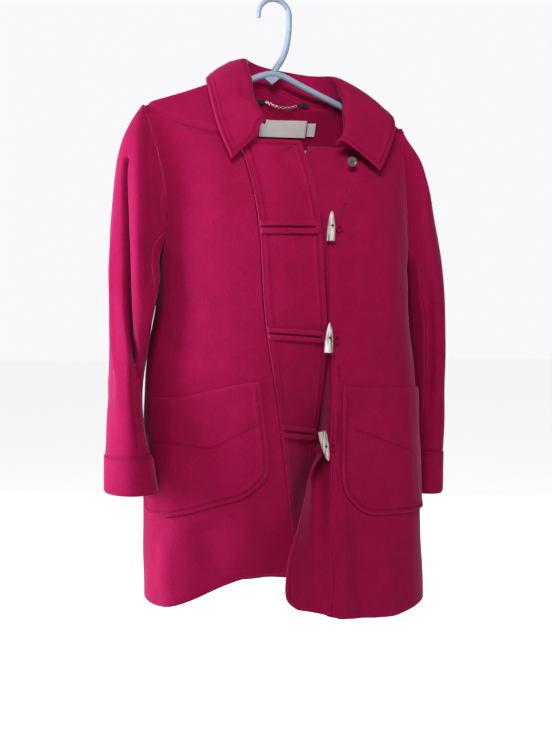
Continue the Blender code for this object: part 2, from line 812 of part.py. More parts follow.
def armhole_ring(side):
    """The armhole's points, from the shoulder round the front and the underarm, with their angles."""
    start = side_start(side)
    top = Vector((armhole_point(side, 0).x, 0, -(start - RIDGE_RADIUS)))
    bottom = -UNDERARM_DOWN
    points = [top]
    points += [armhole_point(side, row.part) for row in ARMHOLE]
    points += [armhole_point(side, row.part, behind=True) for row in reversed(ARMHOLE[:-1])]
    angles = []
    for i, point in enumerate(points):
        share = (top.z - point.z) / (top.z - bottom)
        angle = degrees(acos(max(-1, min(1, 1 - 2 * share))))
        angles.append(angle if i <= len(ARMHOLE) else 360 - angle)
    return points, angles


def ring_point(side, ring, angle, number):
    """A point on one ring of a sleeve, 0 at its outer side and 90 at its front."""
    turn = radians(ring.turn)
    out = Vector((side * cos(turn), 0, sin(turn)))
    deep = ring.half_deep
    around = radians(angle)
    depth = 0
    if side < 0:
        trough = read(SLEEVE_TROUGH, "angle", number)
        spread = read(SLEEVE_TROUGH, "spread", number)
        depth = read(SLEEVE_TROUGH, "depth", number) * exp(-(((angle - trough) / spread) ** 2))
    direction = out * cos(around) * ring.half_out + Vector((0, -1, 0)) * sin(around) * deep
    return Vector((ring.x, ring.y, -ring.down)) + direction * (1 - depth / direction.length)


def sleeve_rows(side):
    """All rings of a sleeve, each closed with its first point again."""
    points, angles = armhole_ring(side)
    rows = [points]
    for number, ring in enumerate(SLEEVE_RIGHT if side < 0 else SLEEVE_LEFT, 1):
        rows.append([ring_point(side, ring, angle, number) for angle in angles])
    return [row + row[:1] for row in rows], angles + [360]


def sleeve_split(angles):
    """Indexes of the front and the back seam."""
    front = min(range(len(angles)), key=lambda i: abs(angles[i] - FRONT_SEAM_DEGREES))
    back = min(range(len(angles)), key=lambda i: abs(angles[i] - BACK_SEAM_DEGREES))
    return front, back


def sleeve_pieces(side, wool):
    """The upper sleeve, the under sleeve and the cuff."""
    word = "right" if side < 0 else "left"
    rows, angles = sleeve_rows(side)
    front, back = sleeve_split(angles)
    tube = rows[: len(rows) - CUFF_RINGS + 1]
    band = rows[len(rows) - CUFF_RINGS :]
    band[0] = [a.lerp(b, CUFF_START) for a, b in zip(band[0], band[1])]
    # seen from outside, rising angles go to the wearer's left on the right sleeve
    order = 1 if side < 0 else -1
    upper = Sheet(f"sleeve_upper_{word}", WOOL, wool, gap=WIDE_GAP)
    upper.grid([(row[back:-1] + row[: front + 1])[::order] for row in tube])
    under = Sheet(f"sleeve_under_{word}", WOOL, wool, gap=WIDE_GAP)
    under.grid([row[front : back + 1][::order] for row in tube])
    cuff = Sheet(f"cuff_{word}", WOOL_DOUBLE, wool, CUFF_RAISE, layer=f"cuff_{word}")
    cuff.grid([row[::order] for row in band])
    return [upper, under, cuff]


# ---------------------------------------------------------------- collar


def collar_section(leaf):
    """Points across the collar: up the stand, over the roll and down the fall to the edge."""
    neck, roll, edge = Vector(leaf.neck), Vector(leaf.roll), Vector(leaf.edge)
    points = [neck.lerp(roll, i / COLLAR_STAND_STEPS) for i in range(COLLAR_STAND_STEPS)]
    fall = edge - roll
    level = Vector((fall.x, fall.y, 0))
    level = level.normalized() if level.length > 1 else Vector((0, 1, 0))
    top = roll + level * COLLAR_ROLL + Vector((0, 0, COLLAR_ROLL * 0.6))
    points.append(roll)
    points.append(top)
    middle = top.lerp(edge, 0.5) + Vector((0, 0, leaf.arch)) + level * leaf.arch * 0.4
    for i in range(1, COLLAR_FALL_STEPS + 1):
        t = i / COLLAR_FALL_STEPS
        points.append(top * (1 - t) ** 2 + middle * 2 * t * (1 - t) + edge * t * t)
    return points


def collar(wool):
    """The collar's outer face, which is the inside of the stand and the top of the fall."""
    sections = [collar_section(leaf) for leaf in COLLAR]
    rows = [list(row) for row in zip(*sections)]
    sheet = Sheet("collar", WOOL_DOUBLE, wool, layer="collar")
    sheet.grid(rows)
    return sheet


# ---------------------------------------------------------------- straps, toggles and trim


def strap(number, toggle, wool):
    """A strap sewn in at the placket's seam: two runs that meet round the back of the toggle."""
    name = f"strap_{number}"
    sheet = Sheet(name, STRAP_THICK, wool, 0, layer=name)
    half = STRAP_WIDTH / 2
    inside = STRAP_APART / 2 - half
    outside = STRAP_APART / 2 + half
    first, bend = 0.012, STRAP_REACH - outside / PLACKET_WIDTH

    def point(across, off):
        down = mix(toggle.strap_left, toggle.strap_right, across) + off
        near = 1e-3
        base = right_placket(across, down)
        side = right_placket(across + near, down) - base
        fall = right_placket(across, down + 1) - base
        out = fall.cross(side).normalized()
        return base + out * (LAY_GAP + STRAP_THICK + STRAP_OFF)

    places = [mix(first, bend, i / STRAP_STEPS) for i in range(STRAP_STEPS + 1)]
    for sign in (-1, 1):
        far, near = sorted((sign * outside, sign * inside))
        rows = [[point(a, off) for a in places] for off in (far, near)]
        sheet.grid(rows)
    turns = 6
    inner = []
    outer = []
    for i in range(turns + 1):
        turn = pi * (i / turns - 0.5)
        inner.append(point(bend + inside * cos(turn) / PLACKET_WIDTH, inside * sin(turn)))
        outer.append(point(bend + outside * cos(turn) / PLACKET_WIDTH, outside * sin(turn)))
    sheet.grid([outer, inner])
    return sheet


def toggle_profile():
    """Radius by height of the horn toggle, from its flat end to its rounded tip."""
    length, radius = TOGGLE_LENGTH, TOGGLE_RADIUS
    rows = [(0.0, 0.86), (0.03, 1.0), (0.3, 0.98), (0.55, 0.84), (0.78, 0.6), (0.92, 0.36), (0.985, 0.16)]
    return [(t * length, r * radius) for t, r in rows]


def make_toggle(number, toggle, horn):
    """A horn toggle: a spun body with a hole through its middle for the cord."""
    bm = bmesh.new()
    rings = []
    sides = 14
    for height, radius in toggle_profile():
        ring = []
        for i in range(sides):
            turn = 2 * pi * i / sides
            place_at = Vector((radius * cos(turn), radius * sin(turn), height - TOGGLE_LENGTH / 2))
            ring.append(bm.verts.new(place_at * MM))
        rings.append(ring)
    for low, high in zip(rings, rings[1:]):
        for i in range(sides):
            j = (i + 1) % sides
            bm.faces.new((low[i], low[j], high[j], high[i]))
    bm.faces.new(rings[0][::-1])
    bm.faces.new(rings[-1])
    mesh = bpy.data.meshes.new(f"toggle_{number}")
    bm.to_mesh(mesh)
    bm.free()
    mesh.shade_smooth()
    mesh.set_sharp_from_angle(angle=radians(50))
    mesh.materials.append(horn)
    obj = bpy.data.objects.new(mesh.name, mesh)
    bpy.context.scene.collection.objects.link(obj)
    turn = Matrix.Rotation(radians(toggle.lean + (180 if toggle.upside_down else 0)), 4, "Y")
    obj.matrix_world = Matrix.Translation(Vector((toggle.x, toggle.y, -toggle.down)) * MM) @ turn
    drill(obj, number)


def drill(obj, number):
    """Cuts the cord's hole through a toggle, from front to back."""
    mesh = bpy.data.meshes.new(f"drill_{number}")
    bm = bmesh.new()
    bmesh.ops.create_cone(
        bm,
        cap_ends=True,
        segments=10,
        radius1=TOGGLE_HOLE / 2 * MM,
        radius2=TOGGLE_HOLE / 2 * MM,
        depth=TOGGLE_RADIUS * 4 * MM,
        matrix=Matrix.Rotation(pi / 2, 4, "X"),
    )
    bm.to_mesh(mesh)
    bm.free()
    cutter = bpy.data.objects.new(mesh.name, mesh)
    bpy.context.scene.collection.objects.link(cutter)
    cutter.matrix_world = obj.matrix_world.copy()
    cutter.hide_render = True
    cutter.display_type = "WIRE"
    cut = obj.modifiers.new("hole", "BOOLEAN")
    cut.operation = "DIFFERENCE"
    cut.solver = "EXACT"
    cut.object = cutter


def make_ring(name, middle, radius, thick, material, squash=1.0):
    """A small closed loop of cord lying in the front's plane."""
    around, section = 18, 8
    points = []
    for i in range(around):
        turn = 2 * pi * i / around
        for j in range(section):
            roll = 2 * pi * j / section
            reach = radius + thick * cos(roll)
            offset = Vector((reach * cos(turn) * squash, thick * sin(roll), reach * sin(turn)))
            points.append(middle + offset)
    faces = []
    for i in range(around):
        for j in range(section):
            a, b = i * section + j, i * section + (j + 1) % section
            c, d = (i + 1) % around * section + j, (i + 1) % around * section + (j + 1) % section
            faces.append((a, b, d, c))
    make_object(name, points, faces, material)


def make_disc(name, middle, radius, thick, material):
    """A round button facing the front, with a soft edge."""
    sides = 20
    low, high = -thick / 2, thick / 2
    profile = ((radius * 0.8, low), (radius, low * 0.3), (radius, high * 0.6), (radius * 0.9, high))
    points = []
    for reach, y in profile:
        for i in range(sides):
            turn = 2 * pi * i / sides
            points.append(middle + Vector((reach * cos(turn), y, reach * sin(turn))))
    faces = []
    for k in range(len(profile) - 1):
        for i in range(sides):
            j = (i + 1) % sides
            a, b = k * sides + i, k * sides + j
            faces.append((a, a + sides, b + sides, b))
    faces.append(tuple(range(sides)))
    last = (len(profile) - 1) * sides
    faces.append(tuple(last + i for i in reversed(range(sides))))
    make_object(name, points, faces, material)


def inside_back(x, down, off):
    """A point off millimetres inside the back's inner face."""
    point = body(180 - angle_of(x, down), down)
    return point + Vector((0, -(WOOL + off), 0))


def make_patch(name, xs, downs, off, thick, material, steps=4):
    """A thin flat piece sewn inside the back, following it."""
    front = []
    for down in downs:
        front.append([inside_back(mix(xs[0], xs[1], i / steps), down, off + thick) for i in range(steps + 1)])
    sheet = Sheet(name, thick, material, layer=name)
    sheet.grid(front)
    return sheet


# ---------------------------------------------------------------- hanger


def tube_curve(name, points, radii, material, cyclic=False):
    """A bent round bar through points in the plane of the hanger."""
    data = bpy.data.curves.new(name, "CURVE")
    data.dimensions = "3D"
    data.bevel_depth = HANGER_TUBE * MM
    data.bevel_resolution = 3
    data.use_fill_caps = not cyclic
    spline = data.splines.new("POLY")
    spline.points.add(len(points) - 1)
    for target, (x, z), radius in zip(spline.points, points, radii):
        target.co = (x * MM, 0, z * MM, 1)
        target.radius = radius / HANGER_TUBE
    spline.use_cyclic_u = cyclic
    data.materials.append(material)
    obj = bpy.data.objects.new(name, data)
    bpy.context.scene.collection.objects.link(obj)
    return obj


def arc(centre, radius, start, end, steps):
    """Points of an arc in the hanger's plane, angles in degrees from +X towards +Z."""
    points = []
    for i in range(steps + 1):
        turn = radians(mix(start, end, i / steps))
        points.append((centre[0] + radius * cos(turn), centre[1] + radius * sin(turn)))
    return points


def hanger_loop():
    """The closed loop of the hanger's arms and its lower bar."""
    points = []
    for side in (-1, 1):
        arm = []
        for share in (0.06, 0.25, 0.5, 0.75, 1):
            x = side * ARM_REACH * share
            arm.append((x, -(ridge_down(x) + ARM_DROP)))
        x, z = arm[-1]
        slope = degrees(atan2(-(SHOULDER_SLOPE + side * TILT), 1))
        if side > 0:
            centre = (x + END_RADIUS * sin(radians(slope)), z - END_RADIUS * cos(radians(slope)))
            arm += arc(centre, END_RADIUS, 90 + slope, -92, 7)[1:]
            points += arm
        else:
            slope = degrees(atan2(-(SHOULDER_SLOPE - TILT), 1))
            centre = (x - END_RADIUS * sin(radians(slope)), z - END_RADIUS * cos(radians(slope)))
            arm += arc(centre, END_RADIUS, 90 - slope, 268, 7)[1:]
            points = arm[::-1] + points
    return points


def make_hanger(plastic):
    """The moulded hanger: a loop of tube, a gusset under its peak and a tapering hook, made one."""
    loop = hanger_loop()
    frame = tube_curve("hanger", loop, [HANGER_TUBE] * len(loop), plastic, cyclic=True)
    centre = (0, -HOOK_INSIDE)
    hook = arc(centre, HOOK_INSIDE + HOOK_WIRE, HOOK_END_DEGREES, 0, 16) + list(STEM) + [(0, -114)]
    radii = [mix(HOOK_WIRE * 0.86, HANGER_TUBE, i / (len(hook) - 1)) for i in range(len(hook))]
    stem = tube_curve("hanger_hook", hook, radii, plastic)
    half = GUSSET_THICK / 2
    points = [Vector((x, y, z)) for y in (-half, half) for x, z in GUSSET]
    faces = [(0, 2, 1), (3, 4, 5), (0, 1, 4, 3), (1, 2, 5, 4), (2, 0, 3, 5)]
    gusset = make_object("hanger_gusset", points, faces, plastic)
    frame = to_mesh(frame, plastic)
    for other in (to_mesh(stem, plastic), gusset):
        join = frame.modifiers.new(other.name, "BOOLEAN")
        join.operation = "UNION"
        join.solver = "EXACT"
        join.object = other
        other.hide_render = True
        other.display_type = "WIRE"


def to_mesh(obj, material):
    """The curve's own surface as a mesh object of the same name."""
    name = obj.name
    graph = bpy.context.evaluated_depsgraph_get()
    mesh = bpy.data.meshes.new_from_object(obj.evaluated_get(graph))
    bpy.data.objects.remove(obj)
    mesh.name = name
    bm = bmesh.new()
    bm.from_mesh(mesh)
    bmesh.ops.remove_doubles(bm, verts=bm.verts, dist=1e-6)
    bmesh.ops.recalc_face_normals(bm, faces=bm.faces)
    bm.to_mesh(mesh)
    bm.free()
    mesh.materials.clear()
    mesh.materials.append(material)
    made = bpy.data.objects.new(name, mesh)
    bpy.context.scene.collection.objects.link(made)
    return made


def make_chain(steel, tape):
    """The hang chain inside the back neck, between two tabs."""
    tabs = []
    ends = []
    for word, x, down in (("right", CHAIN_X[0], CHAIN_DOWN[0]), ("left", CHAIN_X[1], CHAIN_DOWN[1])):
        width, height, thick = CHAIN_TAB
        away = -1 if word == "right" else 1
        xs = sorted((x, x + away * width))
        span = (down - height / 2, down + height / 2)
        tabs.append(make_patch(f"chain_tab_{word}", xs, span, LABEL_OFF, thick, tape, 2))
        ends.append(inside_back(x - away * 2.5, down, LABEL_OFF + thick / 2 + CHAIN_RADIUS))
    sections = 12
    points = []
    for i in range(sections + 1):
        t = i / sections
        point = ends[0].lerp(ends[1], t)
        point.z -= CHAIN_SAG * 4 * t * (1 - t)
        point.y -= 3 * 4 * t * (1 - t)
        points.append(point)
    rows = []
    for point in points:
        rows.append(
            [
                point + Vector((0, cos(2 * pi * j / 8), sin(2 * pi * j / 8))) * CHAIN_RADIUS
                for j in range(8)
            ]
        )
    flat = [vertex for row in rows for vertex in row]
    faces = []
    for i in range(sections):
        for j in range(8):
            a, b = i * 8 + j, i * 8 + (j + 1) % 8
            faces.append((a, b, b + 8, a + 8))
    faces.append(tuple(reversed(range(8))))
    faces.append(tuple(sections * 8 + j for j in range(8)))
    make_object("hang_chain", flat, faces, steel)
    return tabs


def finish(name, colour, roughness, metallic=0.0):
    """A plain material for one kind of surface."""
    material = bpy.data.materials.new(name)
    material.use_nodes = True
    shader = material.node_tree.nodes["Principled BSDF"]
    shader.inputs["Base Color"].default_value = (*colour, 1)
    shader.inputs["Roughness"].default_value = roughness
    shader.inputs["Metallic"].default_value = metallic
    return material


def main():
    for obj in list(bpy.data.objects):
        bpy.data.objects.remove(obj)
    wool = finish("crimson wool", (0.36, 0.006, 0.07), 0.9)
    horn = finish("pale horn", (0.72, 0.66, 0.55), 0.35)
    plastic = finish("pale blue plastic", (0.45, 0.56, 0.7), 0.4)
    woven = finish("woven label", (0.8, 0.74, 0.64), 0.8)
    tape = finish("black tape", (0.02, 0.02, 0.025), 0.8)
    steel = finish("chain steel", (0.7, 0.68, 0.66), 0.3, 1.0)
    smoke = finish("smoky button", (0.2, 0.2, 0.2), 0.3)

    sheets = [
        front_panel(-1, "front_right", wool),
        front_panel(1, "front_left", wool),
        back_panel(wool),
        yoke(wool),
        right_placket_panel(wool),
        left_placket_panel(wool),
        pocket(-1, "pocket_right", wool),
        pocket(1, "pocket_left", wool),
        collar(wool),
    ]
    for side in (-1, 1):
        sheets += sleeve_pieces(side, wool)
    for number, toggle in enumerate(TOGGLES, 1):
        sheets.append(strap(number, toggle, wool))
        make_toggle(number, toggle, horn)
    sheets.append(make_patch("label", LABEL_X, LABEL_DOWN, LABEL_OFF, LABEL_THICK, woven))
    sheets.append(make_patch("size_tab", SIZE_TAB_X, SIZE_TAB_DOWN, LABEL_OFF, LABEL_THICK, woven, 2))
    sheets += make_chain(steel, tape)
    make_cloth(sheets)
    for number, toggle in enumerate(TOGGLES, 1):
        down = toggle.down
        base = left_front(toggle.x + LOOP_X, down)
        middle = base + Vector((0, -(LOOP_THICK + LOOP_OFF), 0))
        make_ring(f"toggle_loop_{number}", middle, LOOP_RADIUS, LOOP_THICK, wool, 0.8)
    make_disc("neck_button", BUTTON, BUTTON_RADIUS, BUTTON_THICK, smoke)
    make_hanger(plastic)


main()
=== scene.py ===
"""The looks of a hanging wool toggle coat on a moulded hanger.

Every panel of cloth is a thin shell grown from its own solid: the solid's outer layer is taken as a
coarse grid, rounded by subdivision, creased by listed troughs and ridges, quilted along its rows of
stitches, and given its thickness with a soft edge. Sizes are in millimetres unless a name says otherwise.
"""

import logging
from dataclasses import dataclass, field
from enum import Enum
from math import cos, pi, radians, sin
from typing import Iterable, Optional, Sequence

import bmesh
import bpy
import numpy as np
from mathutils import Matrix, Vector
from mathutils.bvhtree import BVHTree
from mathutils.kdtree import KDTree


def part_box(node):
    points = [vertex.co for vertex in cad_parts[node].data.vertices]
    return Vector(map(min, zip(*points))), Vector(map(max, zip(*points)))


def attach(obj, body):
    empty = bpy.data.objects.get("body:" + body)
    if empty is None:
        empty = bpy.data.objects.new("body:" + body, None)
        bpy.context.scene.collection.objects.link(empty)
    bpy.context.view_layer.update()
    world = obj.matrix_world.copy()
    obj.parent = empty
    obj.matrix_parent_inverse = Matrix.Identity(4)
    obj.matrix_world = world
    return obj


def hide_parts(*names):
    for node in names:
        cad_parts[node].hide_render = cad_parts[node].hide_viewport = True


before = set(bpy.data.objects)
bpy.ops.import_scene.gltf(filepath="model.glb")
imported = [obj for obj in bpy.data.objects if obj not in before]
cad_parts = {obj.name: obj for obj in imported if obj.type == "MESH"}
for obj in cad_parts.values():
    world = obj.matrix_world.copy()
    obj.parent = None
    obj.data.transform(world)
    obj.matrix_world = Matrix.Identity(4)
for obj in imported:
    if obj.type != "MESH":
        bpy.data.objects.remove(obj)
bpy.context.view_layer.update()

MM = 0.001
PHOTO_SIZE = (552, 733)
log = logging.getLogger("coat")


# ---------------------------------------------------------------- camera and directions


@dataclass(frozen=True)
class PhotoCamera:
    """The level camera that sees the coat as the photograph does."""

    azimuth: float = -15.0
    distance: float = 1.7
    aside: float = 0.0032
    height: float = -0.540
    focal_px: float = 1055.0
    horizon_px: float = 337.0

    def axes(self) -> tuple[Vector, Vector]:
        """The camera's directions to the right and forwards."""
        turn = radians(self.azimuth)
        return Vector((cos(turn), sin(turn), 0)), Vector((-sin(turn), cos(turn), 0))

    def place(self) -> Vector:
        """Where the camera stands."""
        right, forward = self.axes()
        return forward * -self.distance + right * self.aside + Vector((0, 0, self.height))

    def ray(self, px: float, py: float) -> tuple[Vector, Vector]:
        """The line of sight through one place of the photograph.

        Args:
            px: pixels from the left edge.
            py: pixels from the top edge.

        Returns:
            The camera's place and the direction of the line.
        """
        right, forward = self.axes()
        across = (px - PHOTO_SIZE[0] / 2) / self.focal_px
        up = (self.horizon_px - py) / self.focal_px
        return self.place(), (forward + right * across + Vector((0, 0, up))).normalized()

    def build(self) -> bpy.types.Object:
        """Makes the camera object and makes it the scene's camera.

        Returns:
            The camera.
        """
        data = bpy.data.cameras.new("camera")
        data.sensor_fit = "VERTICAL"
        data.sensor_height = 24
        data.lens = self.focal_px * data.sensor_height / PHOTO_SIZE[1]
        data.shift_y = -(PHOTO_SIZE[1] / 2 - self.horizon_px) / PHOTO_SIZE[1]
        data.clip_start = 0.05
        camera = bpy.data.objects.new("camera", data)
        bpy.context.scene.collection.objects.link(camera)
        _, forward = self.axes()
        camera.location = self.place()
        camera.rotation_euler = forward.to_track_quat("-Z", "Y").to_euler()
        bpy.context.scene.camera = camera
        return camera


CAMERA = PhotoCamera()


class Side(Enum):
    """The side of the coat from which a line's points are given."""

    PHOTO = "photo"  # pixels of the photograph
    FRONT = "front"  # x and z
    BACK = "back"
    RIGHT = "right"  # y and z, on the wearer's right
    LEFT = "left"

    def ray(self, a: float, b: float) -> tuple[Vector, Vector]:
        """The line on which a point of this side lies.

        Args:
            a: the first coordinate, in pixels or millimetres.
            b: the second coordinate.

        Returns:
            A start outside the coat and a direction towards it.
        """
        if self is Side.PHOTO:
            return CAMERA.ray(a, b)
        far = 1.0
        starts = {
            Side.FRONT: (Vector((a * MM, -far, b * MM)), Vector((0, 1, 0))),
            Side.BACK: (Vector((a * MM, far, b * MM)), Vector((0, -1, 0))),
            Side.RIGHT: (Vector((-far, a * MM, b * MM)), Vector((1, 0, 0))),
            Side.LEFT: (Vector((far, a * MM, b * MM)), Vector((-1, 0, 0))),
        }
        return starts[self]


# ---------------------------------------------------------------- materials


@dataclass(frozen=True)
class NodeKit:
    """Short ways to add and join the nodes of one tree."""

    tree: bpy.types.NodeTree

    def add(self, kind: str, **values: object) -> bpy.types.Node:
        """Adds a node.

        Args:
            kind: its Blender type name.
            values: its properties, by name.

        Returns:
            The node.
        """
        node = self.tree.nodes.new(kind)
        for key, value in values.items():
            setattr(node, key, value)
        return node

    def join(self, out: bpy.types.NodeSocket, into: bpy.types.NodeSocket) -> None:
        """Links an output to an input."""
        self.tree.links.new(out, into)

    def feed(self, socket: bpy.types.NodeSocket, value: object) -> None:
        """Gives an input a number, a colour or another node's output.

        Args:
            socket: the input.
            value: what goes in.
        """
        if isinstance(value, bpy.types.NodeSocket):
            self.join(value, socket)
        else:
            socket.default_value = value

    def math(self, operation: str, a: object, b: object, clamp: bool = False) -> bpy.types.NodeSocket:
        """Adds a Math node.

        Args:
            operation: its operation.
            a: a number or a socket.
            b: a number or a socket.
            clamp: whether the result is kept between 0 and 1.

        Returns:
            The node's output.
        """
        node = self.add("ShaderNodeMath", operation=operation, use_clamp=clamp)
        self.feed(node.inputs[0], a)
        self.feed(node.inputs[1], b)
        return node.outputs[0]

    def blend(self, share: object, low: object, high: object) -> bpy.types.NodeSocket:
        """Mixes two colours.

        Args:
            share: a number or socket from 0 to 1.
            low: colour or socket at 0.
            high: colour or socket at 1.

        Returns:
            The mixed colour.
        """
        node = self.add("ShaderNodeMix", data_type="RGBA")
        for number, value in ((0, share), (6, low), (7, high)):
            self.feed(node.inputs[number], value)
        return node.outputs[2]

    def bump(self, shader: bpy.types.Node, height: bpy.types.NodeSocket, strength: float, depth: float) -> None:
        """Roughens a shader's surface.

        Args:
            shader: the shader.
            height: the surface's height, from 0 to 1.
            strength: how much of it shows.
            depth: what a height of 1 is, in metres.
        """
        node = self.add("ShaderNodeBump")
        node.inputs["Strength"].default_value = strength
        node.inputs["Distance"].default_value = depth
        self.join(height, node.inputs["Height"])
        self.join(node.outputs[0], shader.inputs["Normal"])

    def stretch(self, scale: Sequence[float] = (1, 1, 1), turn: Sequence[float] = (0, 0, 0)) -> bpy.types.NodeSocket:
        """Object coordinates, stretched and turned.

        Args:
            scale: factors along x, y and z.
            turn: angles about x, y and z, in radians.

        Returns:
            The coordinates.
        """
        where = self.add("ShaderNodeTexCoord")
        mapping = self.add("ShaderNodeMapping")
        mapping.inputs["Scale"].default_value = scale
        mapping.inputs["Rotation"].default_value = turn
        self.join(where.outputs["Object"], mapping.inputs["Vector"])
        return mapping.outputs[0]

    def noise(
        self, where: bpy.types.NodeSocket, scale: float, detail: float = 2, rough: float = 0.5
    ) -> bpy.types.NodeSocket:
        """Noise at some coordinates.

        Args:
            where: the coordinates.
            scale: features per metre.
            detail: octaves.
            rough: strength of each octave against the last.

        Returns:
            The noise's value.
        """
        node = self.add("ShaderNodeTexNoise")
        node.inputs["Scale"].default_value = scale
        node.inputs["Detail"].default_value = detail
        node.inputs["Roughness"].default_value = rough
        self.join(where, node.inputs["Vector"])
        return node.outputs[0]

    def ramp(self, value: bpy.types.NodeSocket, low: float, high: float) -> bpy.types.NodeSocket:
        """Spreads a value between two limits over 0 to 1.

        Args:
            value: the value.
            low: becomes 0.
            high: becomes 1.

        Returns:
            The spread value.
        """
        node = self.add("ShaderNodeMapRange")
        node.inputs["From Min"].default_value = low
        node.inputs["From Max"].default_value = high
        self.join(value, node.inputs["Value"])
        return node.outputs[0]


def darker(colour: Sequence[float], share: float) -> tuple[float, ...]:
    """A share of a colour's light."""
    return tuple(c * share for c in colour[:3]) + (1,)


def new_material(
    name: str, roughness: float, metallic: float = 0.0
) -> tuple[bpy.types.Material, NodeKit, bpy.types.Node]:
    """Starts a material.

    Args:
        name: its name.
        roughness: of its surface.
        metallic: of its surface.

    Returns:
        The material, its nodes and its shader.
    """
    material = bpy.data.materials.new(name)
    material.use_nodes = True
    shader = material.node_tree.nodes["Principled BSDF"]
    shader.inputs["Roughness"].default_value = roughness
    shader.inputs["Metallic"].default_value = metallic
    return material, NodeKit(material.node_tree), shader


def nap_group() -> bpy.types.NodeTree:
    """The napped surface of wool: a mottle, a fibre mask and a height, all from Object coordinates.

    Returns:
        The group.
    """
    group = bpy.data.node_groups.new("wool nap", "ShaderNodeTree")
    for name in ("Mottle", "Fibre", "Height"):
        group.interface.new_socket(name, in_out="OUTPUT", socket_type="NodeSocketFloat")
    kit = NodeKit(group)
    leave = kit.add("NodeGroupOutput")
    where = kit.stretch()
    mottle = kit.noise(where, 34, 3, 0.62)
    fluff = kit.noise(where, 520, 3, 0.7)
    streaks = kit.noise(kit.stretch((1, 1, 0.22), (0.3, 0.12, 0)), 900, 2, 0.6)
    fibre = kit.math("ADD", kit.math("MULTIPLY", streaks, 0.55), kit.math("MULTIPLY", fluff, 0.45))
    kit.join(kit.ramp(mottle, 0.34, 0.68), leave.inputs[0])
    kit.join(kit.ramp(fibre, 0.36, 0.66), leave.inputs[1])
    kit.join(fibre, leave.inputs[2])
    return group


@dataclass(frozen=True)
class WoolFinish:
    """Thick napped coat wool."""

    name: str
    deep: tuple[float, float, float, float]
    bright: tuple[float, float, float, float]
    shaded: tuple[float, float, float, float] = (0.03, 0.001, 0.014, 1)
    bump: float = 0.35
    sheen: float = 0.28

    def build(self) -> bpy.types.Material:
        """Makes the material.

        Returns:
            The material.
        """
        material, kit, shader = new_material(self.name, 0.92)
        nap = kit.add("ShaderNodeGroup")
        nap.node_tree = nap_group()
        edge_highlight = kit.add("ShaderNodeAttribute", attribute_name="edge")
        sewn = kit.add("ShaderNodeAttribute", attribute_name="sewn")
        tone = kit.math("MULTIPLY", nap.outputs["Mottle"], 0.20)
        tone = kit.math("ADD", tone, kit.math("MULTIPLY", nap.outputs["Fibre"], 0.62))
        # painted highlight: the wool's colour is lighter within a few mm of every border, where the rounded edges
        # catch the light
        tone = kit.math("ADD", tone, kit.math("MULTIPLY", edge_highlight.outputs["Fac"], 0.22))
        # painted shade: the colour is darker along the stitch grooves, where the sewn mask is high
        tone = kit.math("SUBTRACT", tone, kit.math("MULTIPLY", sewn.outputs["Fac"], 0.30), clamp=True)
        # painted shade: deep crease troughs blend the colour towards the dark shaded colour
        painted_crease_shade = kit.add("ShaderNodeAttribute", attribute_name="painted_crease_shade")
        dyed = kit.blend(tone, self.deep, self.bright)
        kit.join(kit.blend(painted_crease_shade.outputs["Fac"], dyed, self.shaded), shader.inputs["Base Color"])
        height = kit.math("SUBTRACT", nap.outputs["Height"], kit.math("MULTIPLY", sewn.outputs["Fac"], 0.6))
        kit.bump(shader, height, self.bump, 0.0012)
        shader.inputs["Sheen Weight"].default_value = self.sheen
        shader.inputs["Sheen Roughness"].default_value = 0.3
        shader.inputs["Sheen Tint"].default_value = (0.95, 0.42, 0.80, 1)
        shader.inputs["Specular IOR Level"].default_value = 0.15
        return material


@dataclass(frozen=True)
class ThreadFinish:
    """Sewing thread with a fine twist."""

    name: str
    colour: tuple[float, float, float, float]

    def build(self) -> bpy.types.Material:
        """Makes the material.

        Returns:
            The material.
        """
        material, kit, shader = new_material(self.name, 0.85)
        shader.inputs["Specular IOR Level"].default_value = 0.2
        twist = kit.noise(kit.stretch(), 1600, 1)
        colour = kit.blend(kit.ramp(twist, 0.35, 0.65), darker(self.colour, 0.6), self.colour)
        kit.join(colour, shader.inputs["Base Color"])
        return material


@dataclass(frozen=True)
class HornFinish:
    """Pale polished horn with long grey and brown streaks."""

    name: str = "pale horn"

    def build(self) -> bpy.types.Material:
        """Makes the material.

        Returns:
            The material.
        """
        material, kit, shader = new_material(self.name, 0.32)
        streaks = kit.noise(kit.stretch((1, 1, 0.07), (0, 0.05, 0)), 330, 3, 0.6)
        clouds = kit.noise(kit.stretch((1, 1, 0.4)), 90, 2)
        base = kit.blend(kit.ramp(clouds, 0.35, 0.65), (0.80, 0.74, 0.63, 1), (0.50, 0.42, 0.33, 1))
        colour = kit.blend(kit.ramp(streaks, 0.50, 0.62), base, (0.10, 0.085, 0.08, 1))
        kit.join(colour, shader.inputs["Base Color"])
        kit.join(kit.math("ADD", kit.math("MULTIPLY", streaks, 0.25), 0.22), shader.inputs["Roughness"])
        kit.bump(shader, streaks, 0.15, 0.0004)
        shader.inputs["Coat Weight"].default_value = 0.3
        shader.inputs["Coat Roughness"].default_value = 0.2
        return material


@dataclass(frozen=True)
class PlainFinish:
    """Moulded or metal trim with a faint mottle and a fine grain."""

    name: str
    colour: tuple[float, float, float, float]
    roughness: float
    metallic: float = 0.0
    grain: float = 500.0
    variation: float = 0.12
    bump: float = 0.08

    def build(self) -> bpy.types.Material:
        """Makes the material.

        Returns:
            The material.
        """
        material, kit, shader = new_material(self.name, self.roughness, self.metallic)
        where = kit.stretch()
        mottle = kit.noise(where, 26, 3)
        grain = kit.noise(where, self.grain, 2)
        colour = kit.blend(kit.ramp(mottle, 0.3, 0.7), darker(self.colour, 1 - self.variation), self.colour)
        kit.join(colour, shader.inputs["Base Color"])
        kit.bump(shader, grain, self.bump, 0.0003)
        return material


